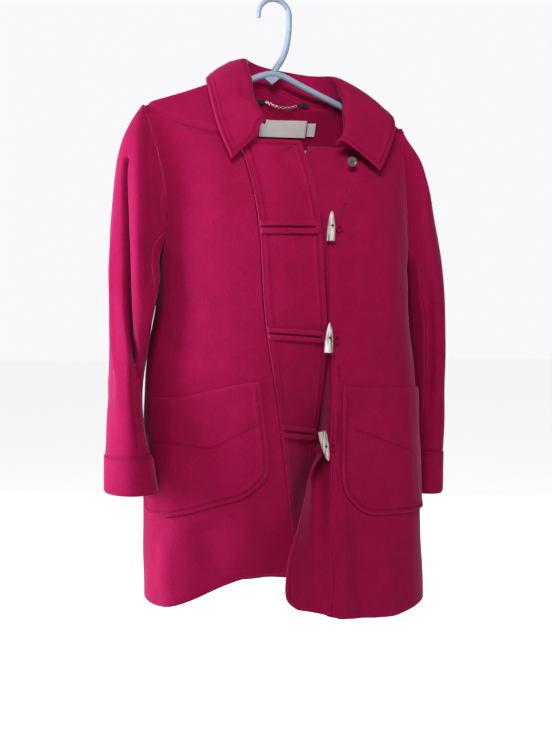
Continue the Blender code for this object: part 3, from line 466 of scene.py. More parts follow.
@dataclass(frozen=True)
class WovenFinish:
    """A closely woven ribbon: fine ribs across it."""

    name: str
    colour: tuple[float, float, float, float]
    ribs: float = 110.0

    def build(self) -> bpy.types.Material:
        """Makes the material.

        Returns:
            The material.
        """
        material, kit, shader = new_material(self.name, 0.65)
        wave = kit.add("ShaderNodeTexWave", bands_direction="X")
        wave.inputs["Scale"].default_value = self.ribs
        wave.inputs["Distortion"].default_value = 0.6
        kit.join(kit.stretch(), wave.inputs["Vector"])
        dust = kit.noise(kit.stretch(), 60, 3)
        share = kit.math("ADD", kit.math("MULTIPLY", wave.outputs["Fac"], 0.2), kit.math("MULTIPLY", dust, 0.7))
        kit.join(kit.blend(share, darker(self.colour, 0.78), self.colour), shader.inputs["Base Color"])
        kit.bump(shader, wave.outputs["Fac"], 0.3, 0.0002)
        return material


@dataclass
class Finishes:
    """All finishes of the coat and its hanger, made once."""

    wool: bpy.types.Material = field(init=False)
    thread: bpy.types.Material = field(init=False)
    horn: bpy.types.Material = field(init=False)
    cord: bpy.types.Material = field(init=False)
    smoke: bpy.types.Material = field(init=False)
    label: bpy.types.Material = field(init=False)
    tape: bpy.types.Material = field(init=False)
    steel: bpy.types.Material = field(init=False)
    plastic: bpy.types.Material = field(init=False)

    def __post_init__(self) -> None:
        """Makes each finish."""
        self.wool = WoolFinish("crimson wool", (0.26, 0.0018, 0.036, 1), (0.47, 0.0045, 0.082, 1)).build()
        self.thread = ThreadFinish("crimson thread", (0.27, 0.0022, 0.04, 1)).build()
        self.horn = HornFinish().build()
        self.cord = ThreadFinish("dark cord", (0.035, 0.004, 0.010, 1)).build()
        self.smoke = PlainFinish("smoky button", (0.13, 0.12, 0.115, 1), 0.28).build()
        self.label = WovenFinish("woven label", (0.90, 0.85, 0.76, 1)).build()
        self.tape = WovenFinish("black tape", (0.02, 0.02, 0.025, 1)).build()
        self.steel = PlainFinish("chain steel", (0.75, 0.74, 0.72, 1), 0.25, 1.0, 900, 0.2, 0.05).build()
        self.plastic = PlainFinish("pale blue plastic", (0.36, 0.46, 0.57, 1), 0.38, 0.0, 320, 0.10, 0.10).build()


# ---------------------------------------------------------------- small mesh tools


def object_from(
    bm: bmesh.types.BMesh, name: str, material: bpy.types.Material, smooth: bool = True
) -> bpy.types.Object:
    """Turns a bmesh into an object at the origin.

    Args:
        bm: the bmesh, which is freed.
        name: the object's name.
        material: its finish.
        smooth: whether it is shaded smooth, with its sharp edges kept.

    Returns:
        The object.
    """
    mesh = bpy.data.meshes.new(name)
    bm.to_mesh(mesh)
    bm.free()
    if smooth:
        mesh.shade_smooth()
        mesh.set_sharp_from_angle(angle=radians(48))
    mesh.materials.append(material)
    obj = bpy.data.objects.new(name, mesh)
    bpy.context.scene.collection.objects.link(obj)
    return obj


def present(obj: bpy.types.Object, slot: str, *nodes: str) -> bpy.types.Object:
    """Puts a finished piece on the coat's body.

    Args:
        obj: the piece.
        slot: the record's material slot; not used.
        nodes: the plain solids that it stands for.

    Returns:
        The piece.
    """
    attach(obj, "root")
    if nodes:
        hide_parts(*nodes)
    log.info("%s: %d faces", obj.name, len(obj.data.polygons))
    return obj


def gathered(parts: Iterable[bmesh.types.BMesh]) -> bmesh.types.BMesh:
    """Puts several meshes into one.

    Args:
        parts: the meshes, which are freed.

    Returns:
        A bmesh with all of them.
    """
    bm = bmesh.new()
    for part in parts:
        mesh = bpy.data.meshes.new("part")
        part.to_mesh(mesh)
        part.free()
        bm.from_mesh(mesh)
        bpy.data.meshes.remove(mesh)
    return bm


def turned(profile: Sequence[tuple[float, float]], steps: int, place: Matrix) -> bmesh.types.BMesh:
    """A solid turned about z from a profile of radius and height.

    Args:
        profile: radius and height in millimetres, from the bottom's middle to the top's middle.
        steps: sides of the turned solid.
        place: where it goes.

    Returns:
        A bmesh with the solid.
    """
    bm = bmesh.new()
    line = [bm.verts.new((r * MM, 0, z * MM)) for r, z in profile]
    edges = [bm.edges.new(pair) for pair in zip(line, line[1:])]
    bmesh.ops.spin(bm, geom=line + edges, cent=(0, 0, 0), axis=(0, 0, 1), angle=2 * pi, steps=steps, use_merge=True)
    bmesh.ops.remove_doubles(bm, verts=bm.verts, dist=1e-6)
    bmesh.ops.recalc_face_normals(bm, faces=bm.faces)
    bmesh.ops.transform(bm, matrix=place, verts=bm.verts)
    return bm


def drilled(body: bpy.types.Object, radius: float, depth: float, sides: int, places: Iterable[Matrix]) -> None:
    """Drills round holes through a piece.

    Args:
        body: the piece.
        radius: of the holes, in millimetres.
        depth: of the drill, in millimetres.
        sides: of each hole.
        places: the holes' middles, each with its direction along z.
    """
    tools = bmesh.new()
    for place in places:
        bmesh.ops.create_cone(
            tools,
            cap_ends=True,
            segments=sides,
            radius1=radius * MM,
            radius2=radius * MM,
            depth=depth * MM,
            matrix=place,
        )
    drill = object_from(tools, "drill", body.data.materials[0], smooth=False)
    cut = body.modifiers.new("holes", "BOOLEAN")
    cut.operation, cut.solver, cut.object = "DIFFERENCE", "EXACT", drill
    graph = bpy.context.evaluated_depsgraph_get()
    mesh = bpy.data.meshes.new_from_object(body.evaluated_get(graph))
    body.modifiers.clear()
    body.data = mesh
    mesh.set_sharp_from_angle(angle=radians(40))
    bpy.data.objects.remove(drill)


def oval(middle: Vector, along: Vector, across: Vector, steps: int) -> list[Vector]:
    """Points round an oval.

    Args:
        middle: its middle.
        along: from its middle to its end.
        across: from its middle to its side.
        steps: how many points.

    Returns:
        The points.
    """
    turns = [2 * pi * k / steps for k in range(steps)]
    return [middle + along * cos(turn) + across * sin(turn) for turn in turns]


def swept(name: str, points: Sequence[Vector], radii: Sequence[float], cyclic: bool, sides: int) -> bmesh.types.BMesh:
    """A round bar of changing thickness along a line.

    Args:
        name: a name for the curve it is made with.
        points: the line, in metres.
        radii: the bar's radius at each point, in metres.
        cyclic: whether the line closes.
        sides: rounding steps of the bar's section.

    Returns:
        A bmesh with the bar.
    """
    data = bpy.data.curves.new(name, "CURVE")
    data.dimensions = "3D"
    data.bevel_depth = 1.0
    data.bevel_resolution = sides
    data.use_fill_caps = not cyclic
    spline = data.splines.new("POLY")
    spline.points.add(len(points) - 1)
    for target, point, radius in zip(spline.points, points, radii):
        target.co = (*point, 1)
        target.radius = radius
    spline.use_cyclic_u = cyclic
    obj = bpy.data.objects.new(name, data)
    bpy.context.scene.collection.objects.link(obj)
    mesh = bpy.data.meshes.new_from_object(obj.evaluated_get(bpy.context.evaluated_depsgraph_get()))
    bpy.data.objects.remove(obj)
    bpy.data.curves.remove(data)
    bm = bmesh.new()
    bm.from_mesh(mesh)
    bpy.data.meshes.remove(mesh)
    bmesh.ops.remove_doubles(bm, verts=bm.verts, dist=1e-7)
    bmesh.ops.recalc_face_normals(bm, faces=bm.faces)
    return bm


def search_tree(points: Iterable[Sequence[float]]) -> KDTree:
    """A tree that finds the nearest of some points.

    Args:
        points: the points.

    Returns:
        The tree, which knows each point by its place in their order.
    """
    listed = list(points)
    tree = KDTree(len(listed))
    for k, point in enumerate(listed):
        tree.insert(point, k)
    tree.balance()
    return tree


def eased(share: np.ndarray | float) -> np.ndarray | float:
    """A share from 0 to 1 that starts and ends softly."""
    return share * share * (3 - 2 * share)


def smooth_line(points: Sequence[Vector], step: float) -> list[Vector]:
    """A smooth curve through some points.

    Args:
        points: the points, in metres.
        step: distance between the curve's own points, in metres.

    Returns:
        The curve's points.
    """
    line: list[Vector] = []
    for i in range(len(points) - 1):
        a = points[max(i - 1, 0)]
        b, c = points[i], points[i + 1]
        d = points[min(i + 2, len(points) - 1)]
        count = max(int((c - b).length / step), 1)
        for k in range(count):
            t = k / count
            line.append(
                b * (1 - 3 * t * t + 2 * t**3)
                + c * (3 * t * t - 2 * t**3)
                + (c - a) * 0.5 * (t - 2 * t * t + t**3)
                + (d - b) * 0.5 * (t**3 - t * t)
            )
    return line + [points[-1]]


def even_steps(line: Sequence[Vector], step: float) -> list[Vector]:
    """Points at even distances along a line.

    Args:
        line: the line's points.
        step: the distance.

    Returns:
        The points.
    """
    found = [line[0]]
    need = step
    for a, b in zip(line, line[1:]):
        length = (b - a).length
        gone = need
        while gone <= length:
            found.append(a.lerp(b, gone / length))
            gone += step
        need = gone - length
    return found


def distance_to(points: np.ndarray, line: Sequence[Vector]) -> tuple[np.ndarray, np.ndarray]:
    """How far points are from a line.

    Args:
        points: the points, one a row.
        line: the line's points.

    Returns:
        The distances, and how far along the line the nearest place is, from 0 to 1.
    """
    best = np.full(len(points), 9.0)
    along = np.zeros(len(points))
    rail = np.array([tuple(p) for p in line])
    lengths = np.linalg.norm(rail[1:] - rail[:-1], axis=1)
    total, gone = max(lengths.sum(), 1e-9), 0.0
    for a, b, length in zip(rail, rail[1:], lengths):
        if length < 1e-9:
            continue
        t = np.clip((points - a) @ (b - a) / length**2, 0, 1)
        apart = np.linalg.norm(points - (a + t[:, None] * (b - a)), axis=1)
        closer = apart < best
        best[closer] = apart[closer]
        along[closer] = (gone + t[closer] * length) / total
        gone += length
    return best, along


def near_line(points: np.ndarray, line: Sequence[Vector], reach: float) -> np.ndarray:
    """The numbers of the points in a line's box.

    Args:
        points: the points, one a row.
        line: the line's points.
        reach: how far the box goes past the line.

    Returns:
        The numbers.
    """
    rail = np.array([tuple(p) for p in line])
    inside = np.all((points > rail.min(axis=0) - reach) & (points < rail.max(axis=0) + reach), axis=1)
    return np.nonzero(inside)[0]


# ---------------------------------------------------------------- cloth


class Held(Enum):
    """How a piece of cloth is held."""

    HUNG = "hung"
    STRETCHED = "stretched"
    FOLDED = "folded"


@dataclass(frozen=True)
class Crease:
    """A soft trough or ridge across the cloth.

    points are places along it as seen from side, width is its half width, height is its height at its
    middle (a trough is negative), and start and end are how much of it is left at its two ends. only holds
    words of the names of the pieces that take it, and shade is how much painted shade darkens a deep one's
    colour at its middle.
    """

    side: Side
    points: tuple[tuple[float, float], ...]
    width: float
    height: float
    start: float = 0.0
    end: float = 0.0
    only: str = ""
    shade: float = 0.0


@dataclass(frozen=True)
class SeamLine:
    """A seam or a free row of stitches, pressed into one piece.

    points are places along it as seen from side, width is its half width and height its height.
    """

    side: Side
    points: tuple[tuple[float, float], ...]
    only: str
    width: float = 2.0
    height: float = -0.9
    thread: bool = True


@dataclass(frozen=True)
class SoftSpot:
    """A place where the cloth is eased smooth, as under a presser's hand."""

    side: Side
    point: tuple[float, float]
    only: str
    reach: float
    steps: int = 30


@dataclass(frozen=True)
class StitchRow:
    """A row of stitches at an even distance inside a piece's edge.

    toward picks the piece's borders that face that way, or None for all; avoid leaves out those that face it.
    groove is its half width and depth its depth; beside it the cloth stands up by puff, and reach is how far
    that goes.
    """

    inset: float
    toward: Optional[tuple[float, float, float]] = None
    avoid: Optional[tuple[float, float, float]] = None
    groove: float = 1.9
    depth: float = 0.75
    puff: float = 0.5
    puff_at: float = 3.4
    puff_wide: float = 2.2
    reach: float = 8.0


@dataclass
class Panel:
    """One cut piece of cloth, grown from its solid.

    outward tells the layer that shows, level is how finely it is rounded and firm how many of those steps
    keep its corners; lap is how far its sewn edges stand up and crown how far its middle does.
    """

    node: str
    flat: tuple[float, float]
    thickness: float = 2.6
    level: int = 3
    outward: Optional[tuple[float, float, float]] = None
    rows: tuple[StitchRow, ...] = ()
    held: Held = Held.HUNG
    rests_on: tuple[str, ...] = ("hanger",)
    area: Optional[float] = None
    lap: float = 0.0
    crown: float = 0.0
    firm: int = 0
    coarse: bmesh.types.BMesh = field(init=False, default=None)
    mesh: bpy.types.Mesh = field(init=False, default=None)
    points: np.ndarray = field(init=False, default=None)
    normals: np.ndarray = field(init=False, default=None)
    sewn: np.ndarray = field(init=False, default=None)
    painted_crease_shade: np.ndarray = field(init=False, default=None)
    shift: np.ndarray = field(init=False, default=None)
    borders: list[list[int]] = field(init=False, default_factory=list)
    stitches: list[list[tuple[Vector, Vector]]] = field(init=False, default_factory=list)

    def take_layer(self) -> None:
        """Takes the outer layer of the solid as a coarse open grid."""
        bm = bmesh.new()
        bm.from_mesh(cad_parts[self.node].data)
        bmesh.ops.remove_doubles(bm, verts=bm.verts, dist=1e-5)
        wall = self.thickness * MM
        rim = [f for f in bm.faces if any(abs(e.calc_length() - wall) < 5e-7 for e in f.edges)]
        bmesh.ops.delete(bm, geom=rim, context="FACES")
        layers = self.islands(bm)
        layers.sort(key=self.worth, reverse=True)
        spare = [f for layer in layers[1:] for f in layer]
        bmesh.ops.delete(bm, geom=spare, context="FACES")
        bmesh.ops.join_triangles(bm, faces=bm.faces[:], angle_face_threshold=pi, angle_shape_threshold=pi)
        self.coarse = bm

    @staticmethod
    def islands(bm: bmesh.types.BMesh) -> list[list[bmesh.types.BMFace]]:
        """The mesh's faces, grouped by what hangs together.

        Args:
            bm: the mesh.

        Returns:
            The groups.
        """
        left = set(bm.faces)
        found = []
        for first in bm.faces:
            if first not in left:
                continue
            left.discard(first)
            group = [first]
            for face in group:
                for other in (other for edge in face.edges for other in edge.link_faces):
                    if other in left:
                        left.discard(other)
                        group.append(other)
            found.append(group)
        return found

    def worth(self, layer: list[bmesh.types.BMFace]) -> float:
        """How far out a layer lies, or how large it is where no direction is given.

        Args:
            layer: its faces.

        Returns:
            A number, the largest for the layer that shows.
        """
        if self.outward is None:
            return sum(f.calc_area() for f in layer)
        middle = sum((f.calc_center_median() for f in layer), Vector()) / len(layer)
        return middle.dot(Vector(self.outward)) + (0 if len(layer) > 8 else -9)

    def refine(self) -> None:
        """Rounds the coarse grid into the fine one."""
        mesh = bpy.data.meshes.new(self.node)
        self.coarse.to_mesh(mesh)
        self.coarse.free()
        obj = bpy.data.objects.new("rounding", mesh)
        bpy.context.scene.collection.objects.link(obj)
        if self.firm:
            first = obj.modifiers.new("firm", "SUBSURF")
            first.subdivision_type = "SIMPLE"
            first.levels = first.render_levels = self.firm
        modifier = obj.modifiers.new("round", "SUBSURF")
        modifier.levels = modifier.render_levels = self.level - self.firm
        modifier.boundary_smooth = "PRESERVE_CORNERS"
        self.hold_shape(obj)
        graph = bpy.context.evaluated_depsgraph_get()
        self.mesh = bpy.data.meshes.new_from_object(obj.evaluated_get(graph))
        bpy.data.objects.remove(obj)
        bpy.data.meshes.remove(mesh)
        self.points = self.places(self.mesh)
        self.sewn = np.zeros(len(self.points))
        self.painted_crease_shade = np.zeros(len(self.points))
        self.borders = self.border_loops()
        if self.firm:
            self.round_corners()
        self.read_normals()

    @staticmethod
    def places(mesh: bpy.types.Mesh) -> np.ndarray:
        """Reads the places of a mesh's points.

        Args:
            mesh: the mesh.

        Returns:
            The places, one a row.
        """
        found = np.zeros(len(mesh.vertices) * 3)
        mesh.vertices.foreach_get("co", found)
        return found.reshape(-1, 3)

    def round_corners(self, reach: int = 3, sharp_turn: float = 0.35, keep: float = 14, steps: int = 14) -> None:
        """Rounds the blunt corners of the border and leaves its square ones.

        Args:
            reach: over how many points a corner's turn is measured.
            sharp_turn: cosine of the turn from which a corner is square.
            keep: how far the border keeps its shape beside a square corner, in millimetres.
            steps: how often it is smoothed.
        """
        for loop in self.borders:
            ring = self.points[loop]
            ahead = np.roll(ring, -reach, axis=0) - ring
            behind = ring - np.roll(ring, reach, axis=0)
            lengths = np.linalg.norm(ahead, axis=1) * np.linalg.norm(behind, axis=1)
            turn = (ahead * behind).sum(axis=1) / np.maximum(lengths, 1e-12)
            sharp = np.nonzero(turn < sharp_turn)[0]
            away = np.full(len(loop), 9.0)
            for i in sharp:
                away = np.minimum(away, np.linalg.norm(ring - ring[i], axis=1))
            loose = np.clip(away / (keep * MM) - 0.4, 0, 1)[:, None]
            for _ in range(steps):
                ring = ring + ((np.roll(ring, 1, axis=0) + np.roll(ring, -1, axis=0)) / 2 - ring) * 0.66 * loose
            self.points[loop] = ring

    @classmethod
    def hold_shape(cls, obj: bpy.types.Object, rounds: int = 3, spread: int = 3) -> None:
        """Moves the coarse points out evenly, so that rounding them keeps the cloth's size.

        Args:
            obj: the coarse cloth with its rounding.
            rounds: how often the points are moved.
            spread: how often each move is shared with the points beside it.
        """
        mesh = obj.data
        aim = cls.places(mesh)
        held = aim.copy()
        for _ in range(rounds):
            graph = bpy.context.evaluated_depsgraph_get()
            short = aim - cls.places(obj.evaluated_get(graph).to_mesh())[: len(aim)]
            for _ in range(spread):
                short = short * 0.4 + cls.beside(mesh, short) * 0.6
            held = held + short
            mesh.vertices.foreach_set("co", held.reshape(-1))
            mesh.update()
            obj.update_tag()

    @staticmethod
    def beside(mesh: bpy.types.Mesh, values: np.ndarray) -> np.ndarray:
        """The mean of each point's neighbours.

        Args:
            mesh: the mesh that says which points are neighbours.
            values: a row of numbers for each point.

        Returns:
            A row of means for each point.
        """
        ends = np.zeros(len(mesh.edges) * 2, dtype=np.int64)
        mesh.edges.foreach_get("vertices", ends)
        a, b = ends.reshape(-1, 2).T
        total = np.zeros_like(values)
        np.add.at(total, a, values[b])
        np.add.at(total, b, values[a])
        return total / np.maximum(np.bincount(ends, minlength=len(values)), 1)[:, None]

    def read_normals(self) -> None:
        """Brings the normals up to date with the points."""
        self.mesh.vertices.foreach_set("co", self.points.reshape(-1))
        self.mesh.update()
        normals = np.zeros(len(self.points) * 3)
        self.mesh.vertex_normals.foreach_get("vector", normals)
        self.normals = normals.reshape(-1, 3)

    def border_loops(self) -> list[list[int]]:
        """Follows the borders.

        Returns:
            The closed loops of border vertices.
        """
        bm = bmesh.new()
        bm.from_mesh(self.mesh)
        left = {e for e in bm.edges if len(e.link_faces) == 1}
        loops = []
        while left:
            edge = left.pop()
            loop = [edge.verts[0].index, edge.verts[1].index]
            vert = edge.verts[1]
            while True:
                following = [e for e in vert.link_edges if e in left]
                if not following:
                    break
                left.discard(following[0])
                vert = following[0].other_vert(vert)
                if vert.index == loop[0]:
                    break
                loop.append(vert.index)
            loops.append(loop)
        bm.free()
        return loops

    def edge_distance(self) -> np.ndarray:
        """Distance of each vertex from the nearest border."""
        tree = self.border_tree(4)
        return np.array([tree.find(p)[2] for p in self.points])

    def border_tree(self, steps: int) -> KDTree:
        """A search tree of closely spaced points on the borders.

        Args:
            steps: how many points each edge of the border gets.

        Returns:
            The tree.
        """
        ends = [pair for loop in self.borders for pair in zip(loop, loop[1:] + loop[:1])]
        shares = [k / steps for k in range(steps)]
        return search_tree(self.points[a] * (1 - t) + self.points[b] * t for a, b in ends for t in shares)

    def sewn_edge_distance(self) -> np.ndarray:
        """Measures how far the cloth is from its sewn edges.

        Returns:
            Distance of each vertex from the borders that a row of stitches follows.
        """
        middle = self.points.mean(axis=0)
        runs = [run for row in self.rows for loop in self.borders for run in self.runs(loop, row, middle)]
        tree = search_tree(self.points[i] for run in runs for i in run)
        return np.array([tree.find(p)[2] for p in self.points])

    def tree(self) -> BVHTree:
        """A search tree of the panel as it is now."""
        return BVHTree.FromPolygons([tuple(p) for p in self.points], [tuple(f.vertices) for f in self.mesh.polygons])

    def sew(self) -> None:
        """Presses the rows of stitches into the cloth and keeps the places of the stitches."""
        if not self.rows:
            return
        edge = self.edge_distance()
        tree = self.tree()
        middle = self.points.mean(axis=0)
        for row in self.rows:
            for loop in self.borders:
                for run in self.runs(loop, row, middle):
                    line = self.inset_line(run, row.inset * MM, tree)
                    if len(line) > 4:
                        self.press(line, row, edge)
        self.read_normals()

    def runs(self, loop: list[int], row: StitchRow, middle: np.ndarray) -> list[list[int]]:
        """The parts of a border that a row follows.

        Args:
            loop: the border's vertices in order.
            row: the row.
            middle: the panel's middle.

        Returns:
            Runs of neighbouring vertices.
        """
        if row.toward is None and row.avoid is None:
            return [loop + loop[:1]]
        normals = self.normals[loop]
        points = self.points[loop]
        ahead = np.roll(points, -1, axis=0) - np.roll(points, 1, axis=0)
        out = np.cross(ahead, normals)
        length = np.linalg.norm(out, axis=1)
        out /= np.maximum(length, 1e-9)[:, None]
        if ((points - middle) * out).sum() < 0:
            out = -out
        if row.toward is None:
            good = (out @ np.array(row.avoid)) < 0.8
        else:
            good = (out @ np.array(row.toward)) > 0.55
        if good.all():
            return [loop + loop[:1]]
        start = int(np.argmin(good))
        order = list(range(start, len(loop))) + list(range(start))
        runs, run = [], []
        for i in order:
            if good[i]:
                run.append(loop[i])
            elif run:
                runs.append(run)
                run = []
        return [r for r in runs + ([run] if run else []) if len(r) > 3]

    def inset_line(self, run: list[int], inset: float, tree: BVHTree) -> list[tuple[Vector, Vector]]:
        """The line at an even distance inside a border.

        Args:
            run: the border's vertices.
            inset: the distance, in metres.
            tree: the panel's search tree.

        Returns:
            Places on the cloth and the directions out of it.
        """
        border = self.border_tree(1)
        line = []
        for k, i in enumerate(run):
            point = Vector(self.points[i])
            normal = Vector(self.normals[i])
            ahead = Vector(self.points[run[min(k + 1, len(run) - 1)]]) - Vector(self.points[run[max(k - 1, 0)]])
            if ahead.length < 1e-7:
                continue
            inward = normal.cross(ahead).normalized() * inset
            best = None
            for way in (inward, -inward):
                near, face_normal, _, apart = tree.find_nearest(point + way)
                if near is not None and (best is None or apart < best[2]):
                    best = (near, face_normal, apart)
            _, _, apart = border.find(best[0])
            if apart > inset * 0.9:
                line.append((best[0], best[1]))
        return line

    def press(self, line: list[tuple[Vector, Vector]], row: StitchRow, edge: np.ndarray) -> None:
        """Presses one row of stitches into the cloth.

        Args:
            line: the row's places.
            row: the row.
            edge: each vertex's distance from the border.
        """
        near = np.nonzero(edge < (row.inset + row.reach) * MM)[0]
        rail = search_tree(p for (a, _), (b, _) in zip(line, line[1:]) for p in (a, a.lerp(b, 0.5)))
        apart = np.array([rail.find(self.points[i])[2] for i in near]) / MM
        groove = np.exp(-((apart / row.groove) ** 2))
        padding = np.exp(-(((apart - row.puff_at) / row.puff_wide) ** 2)) * row.puff
        self.points[near] += self.normals[near] * ((padding - groove * row.depth) * MM)[:, None]
        self.sewn[near] = np.maximum(self.sewn[near], groove)
        self.stitches.append(line)

    def finish(self, finishes: Finishes) -> bpy.types.Object:
        """Gives the cloth its thickness and makes it a finished piece.

        Args:
            finishes: the coat's finishes.

        Returns:
            The piece.
        """
        log.info("%s: %.4f square metres", self.node, sum(f.area for f in self.mesh.polygons))
        edge = self.edge_distance()
        half = self.thickness / 2 * MM
        self.points -= self.normals * half
        self.read_normals()
        mesh = self.mesh
        mesh.shade_smooth()
        mesh.materials.clear()
        mesh.materials.append(finishes.wool)
        share = np.sqrt(np.maximum(1 - np.clip(1 - edge / half, 0, 1) ** 2, 0.02)).round(2)
        # painted highlight: a lighter colour within a few mm of every border, for the rounded edges
        edge_highlight = np.exp(-((edge / (2.5 * MM)) ** 2))
        # the crease shade attribute carries painted shade for the wool's colour
        for name, values in (("edge", edge_highlight), ("sewn", self.sewn), ("painted_crease_shade", self.painted_crease_shade)):
            attribute = mesh.attributes.new(name, "FLOAT", "POINT")
            attribute.data.foreach_set("value", values.astype(np.float32))
        name = f"{self.node}_cloth"
        mesh.name = name
        obj = bpy.data.objects.new(name, mesh)
        bpy.context.scene.collection.objects.link(obj)
        group = obj.vertex_groups.new(name="thickness")
        for value in np.unique(share):
            group.add(np.nonzero(share == value)[0].tolist(), float(value), "REPLACE")
        wall = obj.modifiers.new("wall", "SOLIDIFY")
        wall.thickness = self.thickness * MM
        wall.offset = 0
        wall.vertex_group = group.name
        wall.use_even_offset = False
        present(obj, "wool", self.node)
        return obj


@dataclass
class Garment:
    """All panels of the coat, shaped together so that folds cross their seams."""

    panels: list[Panel]
    creases: tuple[Crease, ...]
    seams: tuple[SeamLine, ...] = ()
    soft_spots: tuple[SoftSpot, ...] = ()
    ripple: float = 0.35
    overlap: float = 0.4
    lap_width: float = 14.0
    lap_slope: float = 5.0
    crown_width: float = 4.0

    def build(self, finishes: Finishes) -> list[bpy.types.Object]:
        """Shapes and finishes all panels.

        Args:
            finishes: the coat's finishes.

        Returns:
            The finished pieces, the stitches last.
        """
        for panel in self.panels:
            panel.take_layer()
            panel.refine()
        for spot in self.soft_spots:
            self.ease(spot)
        self.set_collar()
        self.close_seams()
        self.share_normals()
        self.fold()
        for panel in self.panels:
            panel.sew()
        for seam in self.seams:
            self.press_seam(seam)
        made = [panel.finish(finishes) for panel in self.panels]
        made.append(self.stitch(finishes))
        return made

    def panel(self, node: str) -> Panel:
        """The panel of one solid."""
        return next(p for p in self.panels if p.node == node)

    def ease(self, spot: SoftSpot) -> None:
        """Smooths the cloth around one place, its border too.

        Args:
            spot: the place.
        """
        panel = self.panel(spot.only)
        hit = panel.tree().ray_cast(*spot.side.ray(*spot.point))[0]
        if hit is None:
            log.warning("a soft spot misses %s: %s", spot.only, spot.point)
            return
        apart = np.linalg.norm(panel.points - np.array(hit), axis=1)
        share = np.clip(1.3 - 1.3 * apart / (spot.reach * MM), 0, 1)[:, None]
        for _ in range(spot.steps):
            panel.points = panel.points + (panel.beside(panel.mesh, panel.points) - panel.points) * 0.6 * share
        panel.read_normals()

    def set_collar(self, reach: float = 26, fade: float = 6, depth: float = 22, above: float = -200) -> None:
        """Draws the collar's neck edge down onto the yoke's, and the cloth beside it part of the way.

        Args:
            reach: how far apart the two edges are at most, in millimetres.
            fade: over how much of that the pull ends.
            depth: how far from the edge the collar still gives.
            above: the height that the pull stays above.
        """
        collar = self.panel("collar")
        neck = self.panel("yoke").border_tree(8)
        pulls = []
        for i in (i for loop in collar.borders for i in loop):
            near, _, apart = neck.find(collar.points[i])
            if apart < reach * MM and collar.points[i][2] > above * MM:
                share = min((reach * MM - apart) / (fade * MM), 1)
                pulls.append((collar.points[i].copy(), (np.array(near) - collar.points[i]) * share))
        tree = search_tree(place for place, _ in pulls)
        for i, point in enumerate(collar.points):
            _, k, apart = tree.find(point)
            collar.points[i] = point + pulls[k][1] * eased(max(1 - apart / (depth * MM), 0))
        collar.read_normals()

    def close_seams(self) -> None:
        """Brings the borders that are sewn together onto one line, with a hair's overlap."""
        moves = {p.node: np.zeros_like(p.points) for p in self.panels}
        met = {p.node: np.zeros(len(p.points)) for p in self.panels}
        for a, b, reach in sewn_pairs():
            for own, other in ((self.panel(a), self.panel(b)), (self.panel(b), self.panel(a))):
                tree = other.border_tree(8)
                for i in (i for loop in own.borders for i in loop):
                    near, _, apart = tree.find(own.points[i])
                    if apart < reach * MM:
                        way = np.array(near) - own.points[i]
                        moves[own.node][i] += way * (0.5 + min(self.overlap * MM / max(apart, 1e-6), 0.9))
                        met[own.node][i] += 1
        for panel in self.panels:
            panel.points = panel.points + moves[panel.node] / np.maximum(met[panel.node], 1)[:, None]
            panel.read_normals()

    def share_normals(self) -> None:
        """Gives the borders that are sewn together one direction outwards."""
        ends = [(p, i) for p in self.panels for loop in p.borders for i in loop]
        tree = search_tree(panel.points[i] for panel, i in ends)
        shared = []
        for panel, i in ends:
            total = panel.normals[i].copy()
            for _, k, _ in tree.find_range(panel.points[i], 1.2 * MM):
                other, j = ends[k]
                if other is not panel and other.normals[j] @ panel.normals[i] > 0.2:
                    total = total + other.normals[j]
            shared.append(total / np.linalg.norm(total))
        for (panel, i), normal in zip(ends, shared):
            panel.normals[i] = normal

    def fold(self) -> None:
        """Presses the creases and a slight unevenness into the cloth, and records the painted shade that darkens deep
        creases.
        """
        trees = [(panel, panel.tree()) for panel in self.panels]
        for panel in self.panels:
            p = panel.points
            uneven = (
                np.sin(p[:, 0] * 61 + p[:, 2] * 23 + 1.3)
                + np.sin(p[:, 0] * 29 - p[:, 2] * 37 + p[:, 1] * 41)
                + 0.7 * np.sin(p[:, 2] * 71 + p[:, 1] * 53 + 0.4)
            )
            panel.shift = uneven * self.ripple * MM
        for crease in self.creases:
            rail = self.rail(crease, trees)
            if len(rail) < 2:
                log.warning("a crease misses the cloth: %s", crease.points[0])
                continue
            line = smooth_line(rail, 8 * MM)
            for panel in self.panels:
                if not self.takes(panel, crease):
                    continue
                near = near_line(panel.points, line, 3 * crease.width * MM)
                if not len(near):
                    continue
                apart, along = distance_to(panel.points[near], line)
                ends = np.minimum(
                    crease.start + (1 - crease.start) * np.clip(along / 0.35, 0, 1),
                    crease.end + (1 - crease.end) * np.clip((1 - along) / 0.35, 0, 1),
                )
                share = np.exp(-((apart / (crease.width * MM)) ** 2)) * eased(ends)
                panel.shift[near] += crease.height * MM * share
                # painted shade: a deep crease darkens the colour at its middle
                panel.painted_crease_shade[near] = np.maximum(panel.painted_crease_shade[near], crease.shade * share)
        for panel in self.panels:
            if panel.lap:
                raised = (self.lap_width * MM - panel.sewn_edge_distance()) / (self.lap_slope * MM)
                panel.shift += panel.lap * MM * eased(np.clip(raised, 0, 1))
            if panel.crown:
                full = np.clip(panel.edge_distance() / (self.crown_width * MM), 0, 1)
                panel.shift += panel.crown * MM * np.sqrt(full * (2 - full))
            panel.points = panel.points + panel.normals * panel.shift[:, None]
            panel.read_normals()

